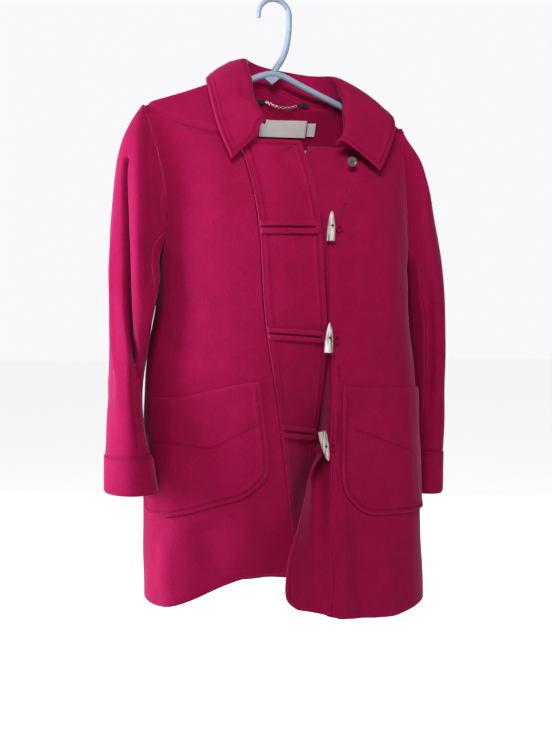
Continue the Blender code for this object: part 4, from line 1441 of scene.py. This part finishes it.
    def press_seam(self, seam: SeamLine) -> None:
        """Presses one seam line into its piece and keeps the places of its stitches.

        Args:
            seam: the seam line.
        """
        panel = self.panel(seam.only)
        tree = panel.tree()
        rail = self.rail(seam, [(panel, tree)])
        if len(rail) < 2:
            log.warning("a seam line misses %s: %s", seam.only, seam.points[0])
            return
        line = [tree.find_nearest(p)[:2] for p in smooth_line(rail, 4 * MM)]
        places = [p for p, _ in line]
        near = near_line(panel.points, places, 4 * seam.width * MM)
        apart, _ = distance_to(panel.points[near], places)
        groove = np.exp(-((apart / (seam.width * MM)) ** 2))
        panel.points[near] += panel.normals[near] * (seam.height * MM * groove)[:, None]
        panel.sewn[near] = np.maximum(panel.sewn[near], groove)
        if seam.thread:
            panel.stitches.append(line)
        panel.read_normals()

    @staticmethod
    def takes(panel: Panel, crease: Crease | SeamLine) -> bool:
        """Whether a panel takes a crease."""
        return not crease.only or any(word in panel.node for word in crease.only.split())

    @staticmethod
    def rail(crease: Crease | SeamLine, trees: Iterable[tuple[Panel, BVHTree]]) -> list[Vector]:
        """The crease's points on the cloth.

        Args:
            crease: the crease.
            trees: the panels and their search trees.

        Returns:
            The points that the lines of sight hit.
        """
        rail = []
        for a, b in crease.points:
            start, way = crease.side.ray(a, b)
            best = None
            for panel, tree in trees:
                if not Garment.takes(panel, crease):
                    continue
                hit, _, _, apart = tree.ray_cast(start, way)
                if hit is not None and (best is None or apart < best[1]):
                    best = (hit, apart)
            if best:
                rail.append(best[0])
        return rail

    def stitch(self, finishes: Finishes) -> bpy.types.Object:
        """Lays the thread of all rows of stitches.

        Args:
            finishes: the coat's finishes.

        Returns:
            The piece.
        """
        bed = ThreadBed()
        for panel in self.panels:
            for line in panel.stitches:
                bed.row(line)
        return present(bed.finish("edge_stitches", finishes.thread), "wool")


@dataclass
class ThreadBed:
    """Gathers the stitches of one piece, each a short spindle of thread."""

    thick: float = 0.32
    bm: bmesh.types.BMesh = field(init=False)
    spindle: bpy.types.Mesh = field(init=False)
    shape: np.ndarray = field(init=False)

    def __post_init__(self) -> None:
        """Makes the spindle that every stitch repeats."""
        one = bmesh.new()
        bmesh.ops.create_uvsphere(one, u_segments=6, v_segments=4, radius=1.0)
        self.spindle = bpy.data.meshes.new("spindle")
        one.to_mesh(self.spindle)
        one.free()
        self.shape = np.array([tuple(v.co) for v in self.spindle.vertices])
        self.bm = bmesh.new()

    def stitch(self, a: Vector, b: Vector, out: Vector, share: float = 0.72, raised: float = 0.1) -> None:
        """Lays one stitch on the cloth.

        Args:
            a: where this stitch starts.
            b: where the next one starts.
            out: the direction out of the cloth.
            share: how much of the way to the next one it covers.
            raised: how far its middle stands off the cloth, in millimetres.
        """
        way = b - a
        along = way.normalized()
        across = out.cross(along)
        if across.length < 1e-6:
            return
        across.normalize()
        up = along.cross(across)
        middle = a + way * (share / 2) + up * raised * MM
        turn = np.array(Matrix((across * self.thick * MM, up * self.thick * MM, along * way.length * share / 2)))
        self.spindle.vertices.foreach_set("co", (self.shape @ turn + np.array(middle)).reshape(-1))
        self.bm.from_mesh(self.spindle, face_normals=False, vertex_normals=False)

    def row(self, line: Sequence[tuple[Vector, Vector]], pitch: float = 4.4) -> None:
        """Lays a row of stitches.

        Args:
            line: places on the cloth and the directions out of it.
            pitch: from one stitch to the next, in millimetres.
        """
        outs = search_tree(place for place, _ in line)
        steps = even_steps([place for place, _ in line], pitch * MM)
        for a, b in zip(steps, steps[1:]):
            if 0.6 * pitch * MM < (b - a).length < 1.4 * pitch * MM:
                self.stitch(a, b, line[outs.find(a)[1]][1])

    def finish(self, name: str, material: bpy.types.Material) -> bpy.types.Object:
        """Makes the rows one piece.

        Args:
            name: the piece's name.
            material: its thread.

        Returns:
            The piece.
        """
        bpy.data.meshes.remove(self.spindle)
        bmesh.ops.recalc_face_normals(self.bm, faces=self.bm.faces)
        return object_from(self.bm, name, material)


# ---------------------------------------------------------------- studio


@dataclass(frozen=True)
class SoftLight:
    """A square soft light: where it stands and what it faces in metres, its side, watts, colour and spread."""

    name: str
    place: tuple[float, float, float]
    aim: tuple[float, float, float]
    size: float
    power: float
    colour: tuple[float, float, float]
    spread: float = 180.0

    def build(self) -> None:
        """Makes the light."""
        data = bpy.data.lights.new(self.name, "AREA")
        data.size, data.energy, data.color, data.spread = self.size, self.power, self.colour, radians(self.spread)
        obj = bpy.data.objects.new(self.name, data)
        bpy.context.scene.collection.objects.link(obj)
        obj.location = self.place
        obj.rotation_euler = (Vector(self.aim) - Vector(self.place)).to_track_quat("-Z", "Y").to_euler()


@dataclass(frozen=True)
class Studio:
    """A pale floor and surround with plain soft light.

    The floor's glow and most of the surround's show to the camera only, so they don't light the coat.
    """

    floor_z: float = -1.25
    floor_size: float = 30.0
    floor_glow: float = 0.78
    surround_light: float = 0.16
    surround_glow: float = 0.83
    lights: tuple[SoftLight, ...] = (
        SoftLight("key", (-0.7, -1.95, 0.85), (-0.03, 0, 0.06), 0.9, 8.6, (0.95, 0.93, 1.0), 80),
        SoftLight("window", (-1.9, 0.1, -0.3), (0, 0, -0.55), 0.9, 66, (0.74, 0.76, 1.0)),
        SoftLight("fill", (1.3, -2.3, -0.2), (0, 0, -0.1), 1.6, 4.5, (1.0, 0.93, 0.95), 110),
        SoftLight("back_fill", (0.8, 2.4, 0.4), (0, 0, -0.5), 2.2, 36, (1.0, 1.0, 1.0)),
    )

    def build(self) -> None:
        """Makes the floor, the surround and the lights."""
        bm = bmesh.new()
        bmesh.ops.create_grid(bm, x_segments=1, y_segments=1, size=self.floor_size)
        bmesh.ops.translate(bm, verts=bm.verts, vec=(0, 0, self.floor_z))
        material, kit, shader = new_material("pale floor", 0.9)
        tone = kit.noise(kit.stretch(), 3, 2)
        kit.join(kit.blend(tone, (0.80, 0.80, 0.80, 1), (0.84, 0.84, 0.84, 1)), shader.inputs["Base Color"])
        shader.inputs["Emission Color"].default_value = (1, 1, 1, 1)
        kit.join(self.glow(kit, self.floor_glow), shader.inputs["Emission Strength"])
        object_from(bm, "floor", material, smooth=False)
        world = bpy.data.worlds.new("studio")
        bpy.context.scene.world = world
        world.use_nodes = True
        kit = NodeKit(world.node_tree)
        background = world.node_tree.nodes["Background"]
        background.inputs[0].default_value = (0.95, 0.95, 0.97, 1)
        kit.join(kit.math("ADD", self.glow(kit, self.surround_glow), self.surround_light), background.inputs[1])
        bpy.context.scene.view_settings.view_transform = "Standard"
        for light in self.lights:
            light.build()

    @staticmethod
    def glow(kit: NodeKit, strength: float) -> bpy.types.NodeSocket:
        """A light that only the camera sees."""
        return kit.math("MULTIPLY", kit.add("ShaderNodeLightPath").outputs["Is Camera Ray"], strength)


# ---------------------------------------------------------------- trim


@dataclass(frozen=True)
class Toggle:
    """A horn toggle with its cord, and the cloth loop beside it."""

    number: int
    place: tuple[float, float, float]
    lean: float
    upside_down: bool = False
    length: float = 46.0
    radius: float = 6.4
    hole: float = 2.1

    def build(self, finishes: Finishes) -> None:
        """Makes the toggle, its cord and its loop.

        Args:
            finishes: the coat's finishes.
        """
        turn = Matrix.Rotation(radians(self.lean + (180 if self.upside_down else 0)), 4, "Y")
        place = Matrix.Translation(Vector(self.place) * MM) @ turn
        self.horn(place, finishes)
        self.cord(place, finishes)
        self.loop(finishes)

    def profile(self) -> list[tuple[float, float]]:
        """The horn's outline.

        Returns:
            Radius and height from the flat end's middle to the tip, in millimetres.
        """
        shape = (
            (0.0, 0.0), (0.80, 0.0), (0.93, 0.006), (0.99, 0.02), (1.0, 0.05), (1.0, 0.2), (0.985, 0.35), (0.93, 0.48),
            (0.84, 0.6), (0.72, 0.71), (0.57, 0.81), (0.41, 0.89), (0.26, 0.95), (0.12, 0.985), (0.0, 1.0),
        )
        return [(r * self.radius, (t - 0.5) * self.length) for r, t in shape]

    def horn(self, place: Matrix, finishes: Finishes) -> bpy.types.Object:
        """Turns the horn and drills its hole.

        Args:
            place: where the toggle hangs.
            finishes: the coat's finishes.

        Returns:
            The piece.
        """
        body = object_from(turned(self.profile(), 32, place), f"toggle_{self.number}_horn", finishes.horn)
        drilled(body, self.hole, self.radius * 4, 20, [place @ Matrix.Rotation(pi / 2, 4, "X")])
        return present(body, "horn", f"toggle_{self.number}")

    def cord(self, place: Matrix, finishes: Finishes) -> bpy.types.Object:
        """The knotted cord that holds the toggle: through its hole and back over the cloth to its loop.

        Args:
            place: where the toggle hangs.
            finishes: the coat's finishes.

        Returns:
            The piece.
        """
        back = self.radius + 0.9
        through = ((0, -4.6, 0.5), (0.4, -3.8, -0.4), (0, 0, 0), (0.3, 5.2, 0), (1.8, back, 0), (4.5, back + 0.3, 0))
        points = [place @ (Vector(p) * MM) for p in through]
        line = smooth_line(points, 0.8 * MM)
        radii = [(1.25 + 0.2 * sin(k * 1.9)) * MM for k in range(len(line))]
        bm = swept("toggle cord", line, radii, False, 3)
        return present(object_from(bm, f"toggle_{self.number}_cord", finishes.cord), "wool")

    def loop(self, finishes: Finishes) -> bpy.types.Object:
        """The small cloth loop beside the toggle.

        Args:
            finishes: the coat's finishes.

        Returns:
            The piece.
        """
        node = f"toggle_loop_{self.number}"
        low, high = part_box(node)
        wide, tall = ((high[axis] - low[axis]) / 2 - 1.5 * MM for axis in (0, 2))
        turns = [2 * pi * k / 40 for k in range(40)]
        ring = oval((low + high) / 2, Vector((wide, 0, 0)), Vector((0, 0, tall)), len(turns))
        points = [p + Vector((0, -0.3 * MM * cos(2 * turn), 0)) for p, turn in zip(ring, turns)]
        radii = [(1.45 + 0.12 * sin(3 * turn)) * MM for turn in turns]
        bm = swept("cloth loop", points, radii, True, 4)
        return present(object_from(bm, f"{node}_wool", finishes.wool), "wool", node)


TOGGLES = (
    Toggle(1, (53.5, -134, -373), 3),
    Toggle(2, (47.5, -142, -541), 3),
    Toggle(3, (44, -133, -704), -13, True),
)


@dataclass(frozen=True)
class NeckButton:
    """The smoky four-hole button of the left front's neck corner."""

    radius: float = 7.8
    thick: float = 2.6
    hole: float = 0.85
    apart: float = 1.7

    def build(self, finishes: Finishes) -> None:
        """Makes the button and its thread.

        Args:
            finishes: the coat's finishes.
        """
        low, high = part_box("neck_button")
        place = Matrix.Translation((low + high) / 2) @ Matrix.Rotation(pi / 2, 4, "X")
        r, t = self.radius, self.thick
        profile = (
            (0, -t / 2), (r * 0.75, -t / 2), (r * 0.92, -t * 0.3), (r, 0), (r * 0.98, t * 0.3), (r * 0.88, t / 2),
            (r * 0.76, t * 0.42), (r * 0.62, t * 0.18), (r * 0.4, t * 0.12), (0, t * 0.12),
        )
        body = object_from(turned(profile, 40, place), "neck_button_smoke", finishes.smoke)
        sides = (-self.apart * MM, self.apart * MM)
        drilled(body, self.hole, t * 3, 12, [place @ Matrix.Translation((x, z, 0)) for x in sides for z in sides])
        present(body, "smoky_button", "neck_button")
        threads = gathered(self.thread(place, x + shift * MM) for x in sides for shift in (-0.35, 0.35))
        present(object_from(threads, "neck_button_thread", finishes.thread), "wool")

    def thread(self, place: Matrix, x: float) -> bmesh.types.BMesh:
        """One thread, up through a hole, over the button's middle and down through the next hole.

        Args:
            place: where the button is.
            x: how far the thread is from the button's middle, in metres.

        Returns:
            A bmesh with the thread.
        """
        path = ((-1, -0.6), (-0.6, 0.75), (0.6, 0.75), (1, -0.6))
        ends = [place @ Vector((x, share * self.apart * MM, out * MM)) for share, out in path]
        return swept("button thread", ends, [0.33 * MM] * len(ends), False, 2)


@dataclass(frozen=True)
class Buttonhole:
    """The slanting buttonhole in the right placket's top corner, its slit edged with thread and laid with a dark bar
    of painted shade.
    """

    ends: tuple[tuple[float, float], ...] = ((287.5, 149.5), (292, 147), (296.5, 144))
    half: float = 1.5

    def build(self, placket: Panel, finishes: Finishes) -> None:
        """Makes the thread round the slit, and a dark bar in the slit as painted shade.

        Args:
            placket: the right placket.
            finishes: the coat's finishes.
        """
        tree = placket.tree()
        line = []
        for px, py in self.ends:
            hit, out, _, _ = tree.ray_cast(*CAMERA.ray(px, py))
            line.append(hit + out * (placket.thickness / 2 + 0.1) * MM)
        out = tree.find_nearest(line[1])[1]
        along = (line[-1] - line[0]).normalized()
        across = out.cross(along).normalized()
        reach = (line[-1] - line[0]).length / 2
        middle = (line[0] + line[-1]) / 2
        bed = ThreadBed(0.30)
        for place in oval(middle, along * reach, across * self.half * MM, 36):
            outwards = (place - middle).normalized()
            bed.stitch(place - outwards * 0.2 * MM, place + outwards * 1.5 * MM, out, 1.0, 0.25)
        present(bed.finish("buttonhole_stitches", finishes.thread), "wool")
        # painted shade: a dark bar of the cord finish lies in the slit where its opening is in shade
        tip = along * reach * 0.85
        slit = swept("slit", [middle - tip, middle, middle + tip], [0.3 * MM, 0.62 * MM, 0.3 * MM], False, 3)
        present(object_from(slit, "buttonhole_slit_shade", finishes.cord), "wool")


@dataclass(frozen=True)
class NeckTrim:
    """The blank label and size tab inside the back neck, and the chain that the coat hangs by."""

    link_long: float = 2.9
    link_wide: float = 1.7
    wire: float = 0.42
    pitch: float = 3.5

    def build(self, finishes: Finishes) -> None:
        """Dresses the label, the tabs and the chain.

        Args:
            finishes: the coat's finishes.
        """
        for name, finish in (
            ("label", finishes.label),
            ("size_tab", finishes.label),
            ("chain_tab_right", finishes.tape),
            ("chain_tab_left", finishes.tape),
        ):
            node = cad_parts[name]
            node.data.materials.clear()
            node.data.materials.append(finish)
        self.sew_down(finishes)
        self.chain(finishes)

    def sew_down(self, finishes: Finishes) -> bpy.types.Object:
        """Sews the ends of the label, the size tab and the chain's tabs.

        Args:
            finishes: the coat's finishes.

        Returns:
            The stitches.
        """
        bed = ThreadBed(0.26)
        for name, inset in (("label", 1.8), ("size_tab", 1.4), ("chain_tab_right", 1.2), ("chain_tab_left", 1.2)):
            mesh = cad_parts[name].data
            faces = [tuple(f.vertices) for f in mesh.polygons]
            tree = BVHTree.FromPolygons([tuple(v.co) for v in mesh.vertices], faces)
            low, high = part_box(name)
            for x in (low.x + inset * MM, high.x - inset * MM):
                line = []
                for k in range(21):
                    z = low.z + (high.z - low.z) * k / 20
                    hit, out, _, _ = tree.ray_cast(Vector((x, low.y - 0.02, z)), Vector((0, 1, 0)))
                    if hit is not None:
                        line.append((hit, out))
                if len(line) > 3:
                    bed.row(line, 2.2)
        return present(bed.finish("label_stitches", finishes.thread), "wool")

    def chain(self, finishes: Finishes) -> bpy.types.Object:
        """Hangs the chain, link by link, along the line of its solid.

        Args:
            finishes: the coat's finishes.

        Returns:
            The piece.
        """
        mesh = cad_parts["hang_chain"].data
        rings: dict[int, list[Vector]] = {}
        for vert in mesh.vertices:
            rings.setdefault(round(vert.co.x * 2e4), []).append(vert.co)
        middles = [sum(ring, Vector()) / len(ring) for _, ring in sorted(rings.items())]
        places = even_steps(middles, self.pitch * MM)
        links = []
        for k, place in enumerate(places[:-1]):
            along = (places[k + 1] - place).normalized()
            across = along.cross(Vector((0, 0, 1) if k % 2 else (0, 1, 0))).normalized()
            ring = oval(place, along * self.link_long * MM, across * self.link_wide * MM, 18)
            links.append(swept("link", ring, [self.wire * MM] * len(ring), True, 2))
        chain = gathered(links)
        return present(object_from(chain, "hang_chain_links", finishes.steel), "chain", "hang_chain")


@dataclass(frozen=True)
class Hanger:
    """The moulded hanger: a closed loop of tube, a gusset at its peak and a tapering hook."""

    tube: float = 5.2
    hook_wire: float = 4.0
    hook_inside: float = 21.5
    hook_end: float = 192.0
    stem: tuple[tuple[float, float], ...] = (
        (25.5, -27), (25.0, -42), (23.0, -60), (19.0, -78), (12.0, -94), (4.0, -106), (0, -114),
    )
    gusset: tuple[tuple[float, float], ...] = ((-24, -119), (16, -118), (-4, -134))
    gusset_thick: float = 5.0
    loop: tuple[tuple[float, float], ...] = (
        (-171.2, -234.7), (-182.3, -232.0), (-191.5, -225.4), (-197.4, -215.7), (-199.2, -204.4), (-196.5, -193.4),
        (-189.7, -184.2), (-180, -178.4), (-135.0, -162.2), (-90.0, -146.1), (-45.0, -129.9), (-10.8, -117.6),
        (10.8, -118.4), (45.0, -133.1), (90.0, -152.4), (135.0, -171.7), (180, -191.0), (189.4, -197.5),
        (195.6, -207.0), (197.6, -218.3), (195.1, -229.4), (188.5, -238.7), (178.8, -244.8), (167.6, -246.6),
    )

    def build(self, finishes: Finishes) -> bpy.types.Object:
        """Makes the hanger as one moulding.

        Args:
            finishes: the coat's finishes.

        Returns:
            The piece.
        """
        ring = [Vector((x * MM, 0, z * MM)) for x, z in self.loop]
        line = smooth_line(ring + ring[:1], 6 * MM)[:-1]
        arms = swept("arms", line, [self.tube * MM] * len(line), True, 5)
        bm = gathered((arms, self.hook(), self.web()))
        return present(object_from(bm, "hanger_moulding", finishes.plastic), "hanger_plastic", "hanger")

    def hook(self) -> bmesh.types.BMesh:
        """The round hook and its stem, thicker towards the arms.

        Returns:
            A bmesh with the hook.
        """
        reach = self.hook_inside + self.hook_wire
        turns = [radians(self.hook_end * (1 - k / 32)) for k in range(33)]
        curve = [(reach * cos(turn), -self.hook_inside + reach * sin(turn)) for turn in turns]
        line = smooth_line([Vector((x * MM, 0, z * MM)) for x, z in curve + list(self.stem)], 4 * MM)
        thin = self.hook_wire * 0.86
        radii = [(thin + (self.tube - thin) * k / (len(line) - 1)) * MM for k in range(len(line))]
        return swept("hook", line, radii, False, 5)

    def web(self) -> bmesh.types.BMesh:
        """The gusset, a small three-cornered plate with soft edges.

        Returns:
            A bmesh with the gusset.
        """
        bm = bmesh.new()
        face = bm.faces.new([bm.verts.new((x * MM, -self.gusset_thick / 2 * MM, z * MM)) for x, z in self.gusset])
        grown = bmesh.ops.extrude_face_region(bm, geom=[face])["geom"]
        verts = [g for g in grown if isinstance(g, bmesh.types.BMVert)]
        bmesh.ops.translate(bm, verts=verts, vec=(0, self.gusset_thick * MM, 0))
        bmesh.ops.recalc_face_normals(bm, faces=bm.faces)
        bmesh.ops.bevel(bm, geom=bm.edges[:], offset=0.8 * MM, segments=2, profile=0.5, affect="EDGES", material=-1)
        return bm


# ---------------------------------------------------------------- the coat


FRONT = (0.0, -1.0, 0.0)
UP = (0.0, 0.0, 1.0)

CREASES = (
    # right sleeve: the long valley, its middle darkened with painted shade, and the ridge beside it
    Crease(
        Side.PHOTO,
        ((127, 128), (125, 160), (123, 200), (124, 231), (126, 291), (128, 317), (135, 353), (141, 385), (143, 405)),
        5, -15, start=0.8, end=0.6, shade=1.0, only="sleeve",
    ),
    Crease(Side.PHOTO, ((126, 150), (124, 231), (127, 300), (136, 353)), 14, -4, only="sleeve"),
    Crease(Side.PHOTO, ((142, 118), (139, 170), (138, 231), (140, 291), (146, 340)), 10, 5, start=0.6, only="sleeve"),
    Crease(Side.PHOTO, ((116, 150), (113, 210), (112, 280), (113, 340), (122, 400)), 8, 4, only="sleeve"),
    # the sleeve rests against the side of the body
    Crease(
        Side.PHOTO, ((162, 236), (154, 275), (148, 310), (143, 345), (145, 375), (147, 400)),
        15, 9, end=0.4, only="sleeve",
    ),
    Crease(
        Side.RIGHT, ((-20, -400), (-20, -480), (-18, -560), (-15, -640), (-12, -740)),
        34, 7, only="front_right back",
    ),
    Crease(Side.PHOTO, ((157, 175), (163, 215), (160, 262)), 8, -3),
    Crease(Side.PHOTO, ((112, 330), (118, 380), (117, 430)), 12, 3),
    # right front
    Crease(Side.PHOTO, ((176, 250), (182, 320), (190, 380)), 22, -3),
    Crease(Side.PHOTO, ((205, 130), (215, 190), (222, 260)), 26, 3),
    Crease(Side.PHOTO, ((160, 300), (172, 350), (200, 372)), 16, -3),
    Crease(Side.PHOTO, ((200, 520), (212, 560), (216, 600)), 22, -5, end=1),
    Crease(Side.PHOTO, ((168, 530), (165, 570), (168, 602)), 16, 5, end=1),
    Crease(Side.PHOTO, ((245, 505), (252, 545), (258, 580)), 18, 4, end=1),
    # the flared corner of the right placket: a bright facet beside a soft valley
    Crease(Side.PHOTO, ((281, 155), (292, 170), (304, 188), (316, 207)), 9, -2.5, start=0.7, only="placket_right"),
    Crease(Side.PHOTO, ((303, 139), (309, 160), (315, 182), (319, 205)), 13, 9, start=1, only="placket_right"),
    # left front
    Crease(Side.PHOTO, ((343, 470), (343, 540), (342, 618)), 8, 4, end=1),
    Crease(Side.PHOTO, ((356, 520), (360, 570), (364, 618)), 12, -5, end=1),
    Crease(Side.PHOTO, ((382, 520), (388, 570), (392, 612)), 16, 5, end=1),
    Crease(Side.PHOTO, ((360, 190), (356, 240), (352, 300)), 18, -3),
    Crease(Side.PHOTO, ((390, 210), (392, 280), (388, 360)), 20, 3),
    # left sleeve
    Crease(Side.PHOTO, ((425, 230), (428, 300), (430, 380), (430, 440)), 10, -4),
    # back
    Crease(Side.BACK, ((-95, -330), (-105, -520), (-120, -760), (-125, -955)), 26, 9, end=1),
    Crease(Side.BACK, ((-45, -380), (-52, -600), (-62, -955)), 20, -9, end=1),
    Crease(Side.BACK, ((15, -340), (22, -560), (30, -800), (26, -955)), 24, 9, end=1),
    Crease(Side.BACK, ((75, -420), (82, -620), (95, -955)), 18, -8, end=1),
    Crease(Side.BACK, ((140, -360), (150, -560), (160, -955)), 22, 8, end=1),
    Crease(Side.BACK, ((-150, -235), (-60, -262), (30, -262), (120, -240)), 16, -3),
    # sides of the sleeves
    Crease(Side.LEFT, ((10, -300), (22, -420), (30, -560), (44, -700)), 12, -4),
    Crease(Side.LEFT, ((-20, -330), (-6, -440), (4, -560)), 14, 3),
    Crease(Side.RIGHT, ((10, -290), (0, -420), (-14, -560), (-40, -660)), 12, -4),
    Crease(Side.RIGHT, ((36, -520), (20, -600), (-10, -650)), 10, 3),
)


def sewn_pairs() -> list[tuple[str, str, float]]:
    """The pieces that are sewn edge to edge.

    Returns:
        Their names, and how far apart their solids' edges are at most, in millimetres.
    """
    pairs = [("back", "yoke", 4.5), ("front_right", "placket_right", 4.5), ("front_left", "placket_left", 9.0)]
    for side, side_seam in (("right", 6.0), ("left", 4.5)):
        front, upper, under, cuff = (f"{name}_{side}" for name in ("front", "sleeve_upper", "sleeve_under", "cuff"))
        pairs += [(front, "yoke", 4.5), (front, "back", side_seam), (upper, under, 4.5)]
        pairs += [(piece, upper, 6.0) for piece in (front, "yoke", "back", cuff)]
        pairs += [(piece, under, 6.0) for piece in (front, "back", cuff)]
    return pairs


SOFT_SPOTS = (
    # the collar's front ends, where its leaves turn into the stand
    SoftSpot(Side.PHOTO, (271, 130), "collar", 27, 240),
    SoftSpot(Side.PHOTO, (341, 141.5), "collar", 27, 240),
)

SEAMS = (
    # the slanting rows across the pockets
    SeamLine(Side.PHOTO, ((156, 442), (185, 445), (211, 448), (232, 438), (262, 423)), "pocket_right", 1.8, -0.7),
    SeamLine(Side.PHOTO, ((342, 425), (354, 429), (368, 434), (391, 443), (412, 451)), "pocket_left", 1.8, -0.7),
    # the second row under each cuff's seam
    SeamLine(Side.PHOTO, ((131, 368), (134, 412), (138, 447)), "sleeve_upper_right", 3.0, -1.0, False),
)


def coat_panels() -> list[Panel]:
    """All cut pieces of the coat, with their sizes before sewing and their rows of stitches.

    Returns:
        The panels.
    """
    but_top = (StitchRow(7.5, avoid=UP),)
    ends = (StitchRow(5.5, FRONT), StitchRow(5.5, (0, 1, 0)))
    to_middle = (-1, 0, 0)
    wool, double, strap = 2.6, 4.0, 3.0
    held = Held.STRETCHED
    panels = [
        Panel("front_right", (0.26, 0.80), area=0.170),
        Panel("front_left", (0.27, 0.80), level=4, area=0.178, rows=(StitchRow(8.5, to_middle),)),
        Panel("back", (0.52, 0.72), area=0.360),
        Panel("yoke", (0.43, 0.30), level=3, outward=UP, rows=ends, area=0.090, lap=3.0),
        Panel("placket_right", (0.096, 0.73), wool, 4, FRONT, (StitchRow(8.5),), lap=1.6),
        Panel("placket_left", (0.100, 0.74), wool, 3, FRONT, (StitchRow(7.5, to_middle),)),
        Panel("pocket_right", (0.195, 0.205), double, 4, FRONT, but_top, held, ("front_right",), lap=0.8, firm=1),
        Panel("pocket_left", (0.215, 0.210), double, 4, FRONT, but_top, held, ("front_left",), lap=0.8, firm=1),
        Panel("collar", (0.62, 0.115), double, 3, UP, (StitchRow(7.0),), Held.FOLDED, ("yoke",), lap=0.8),
    ]
    for part, flat, level, area in (("upper", (0.24, 0.54), 4, 0.116), ("under", (0.13, 0.36), 3, 0.039)):
        panels += [Panel(f"sleeve_{part}_{side}", flat, level=level, area=area) for side in ("right", "left")]
    for side, flat in (("right", (0.30, 0.062)), ("left", (0.31, 0.075))):
        panels.append(Panel(f"cuff_{side}", flat, double, 4, rows=(StitchRow(4.5, UP),)))
    for number in (1, 2, 3):
        panels.append(
            Panel(f"strap_{number}", (0.20, 0.0105), strap, 3, FRONT, (), held, ("placket_right",), crown=1.3)
        )
    return panels


def main() -> None:
    """Builds the coat, its trim, the hanger and the studio."""
    logging.basicConfig(level=logging.INFO, format="%(message)s")
    finishes = Finishes()
    CAMERA.build()
    Studio().build()
    garment = Garment(coat_panels(), CREASES, SEAMS, SOFT_SPOTS)
    garment.build(finishes)
    Buttonhole().build(garment.panel("placket_right"), finishes)
    for toggle in TOGGLES:
        toggle.build(finishes)
    NeckButton().build(finishes)
    NeckTrim().build(finishes)
    Hanger().build(finishes)


if __name__ == "__main__":
    main()
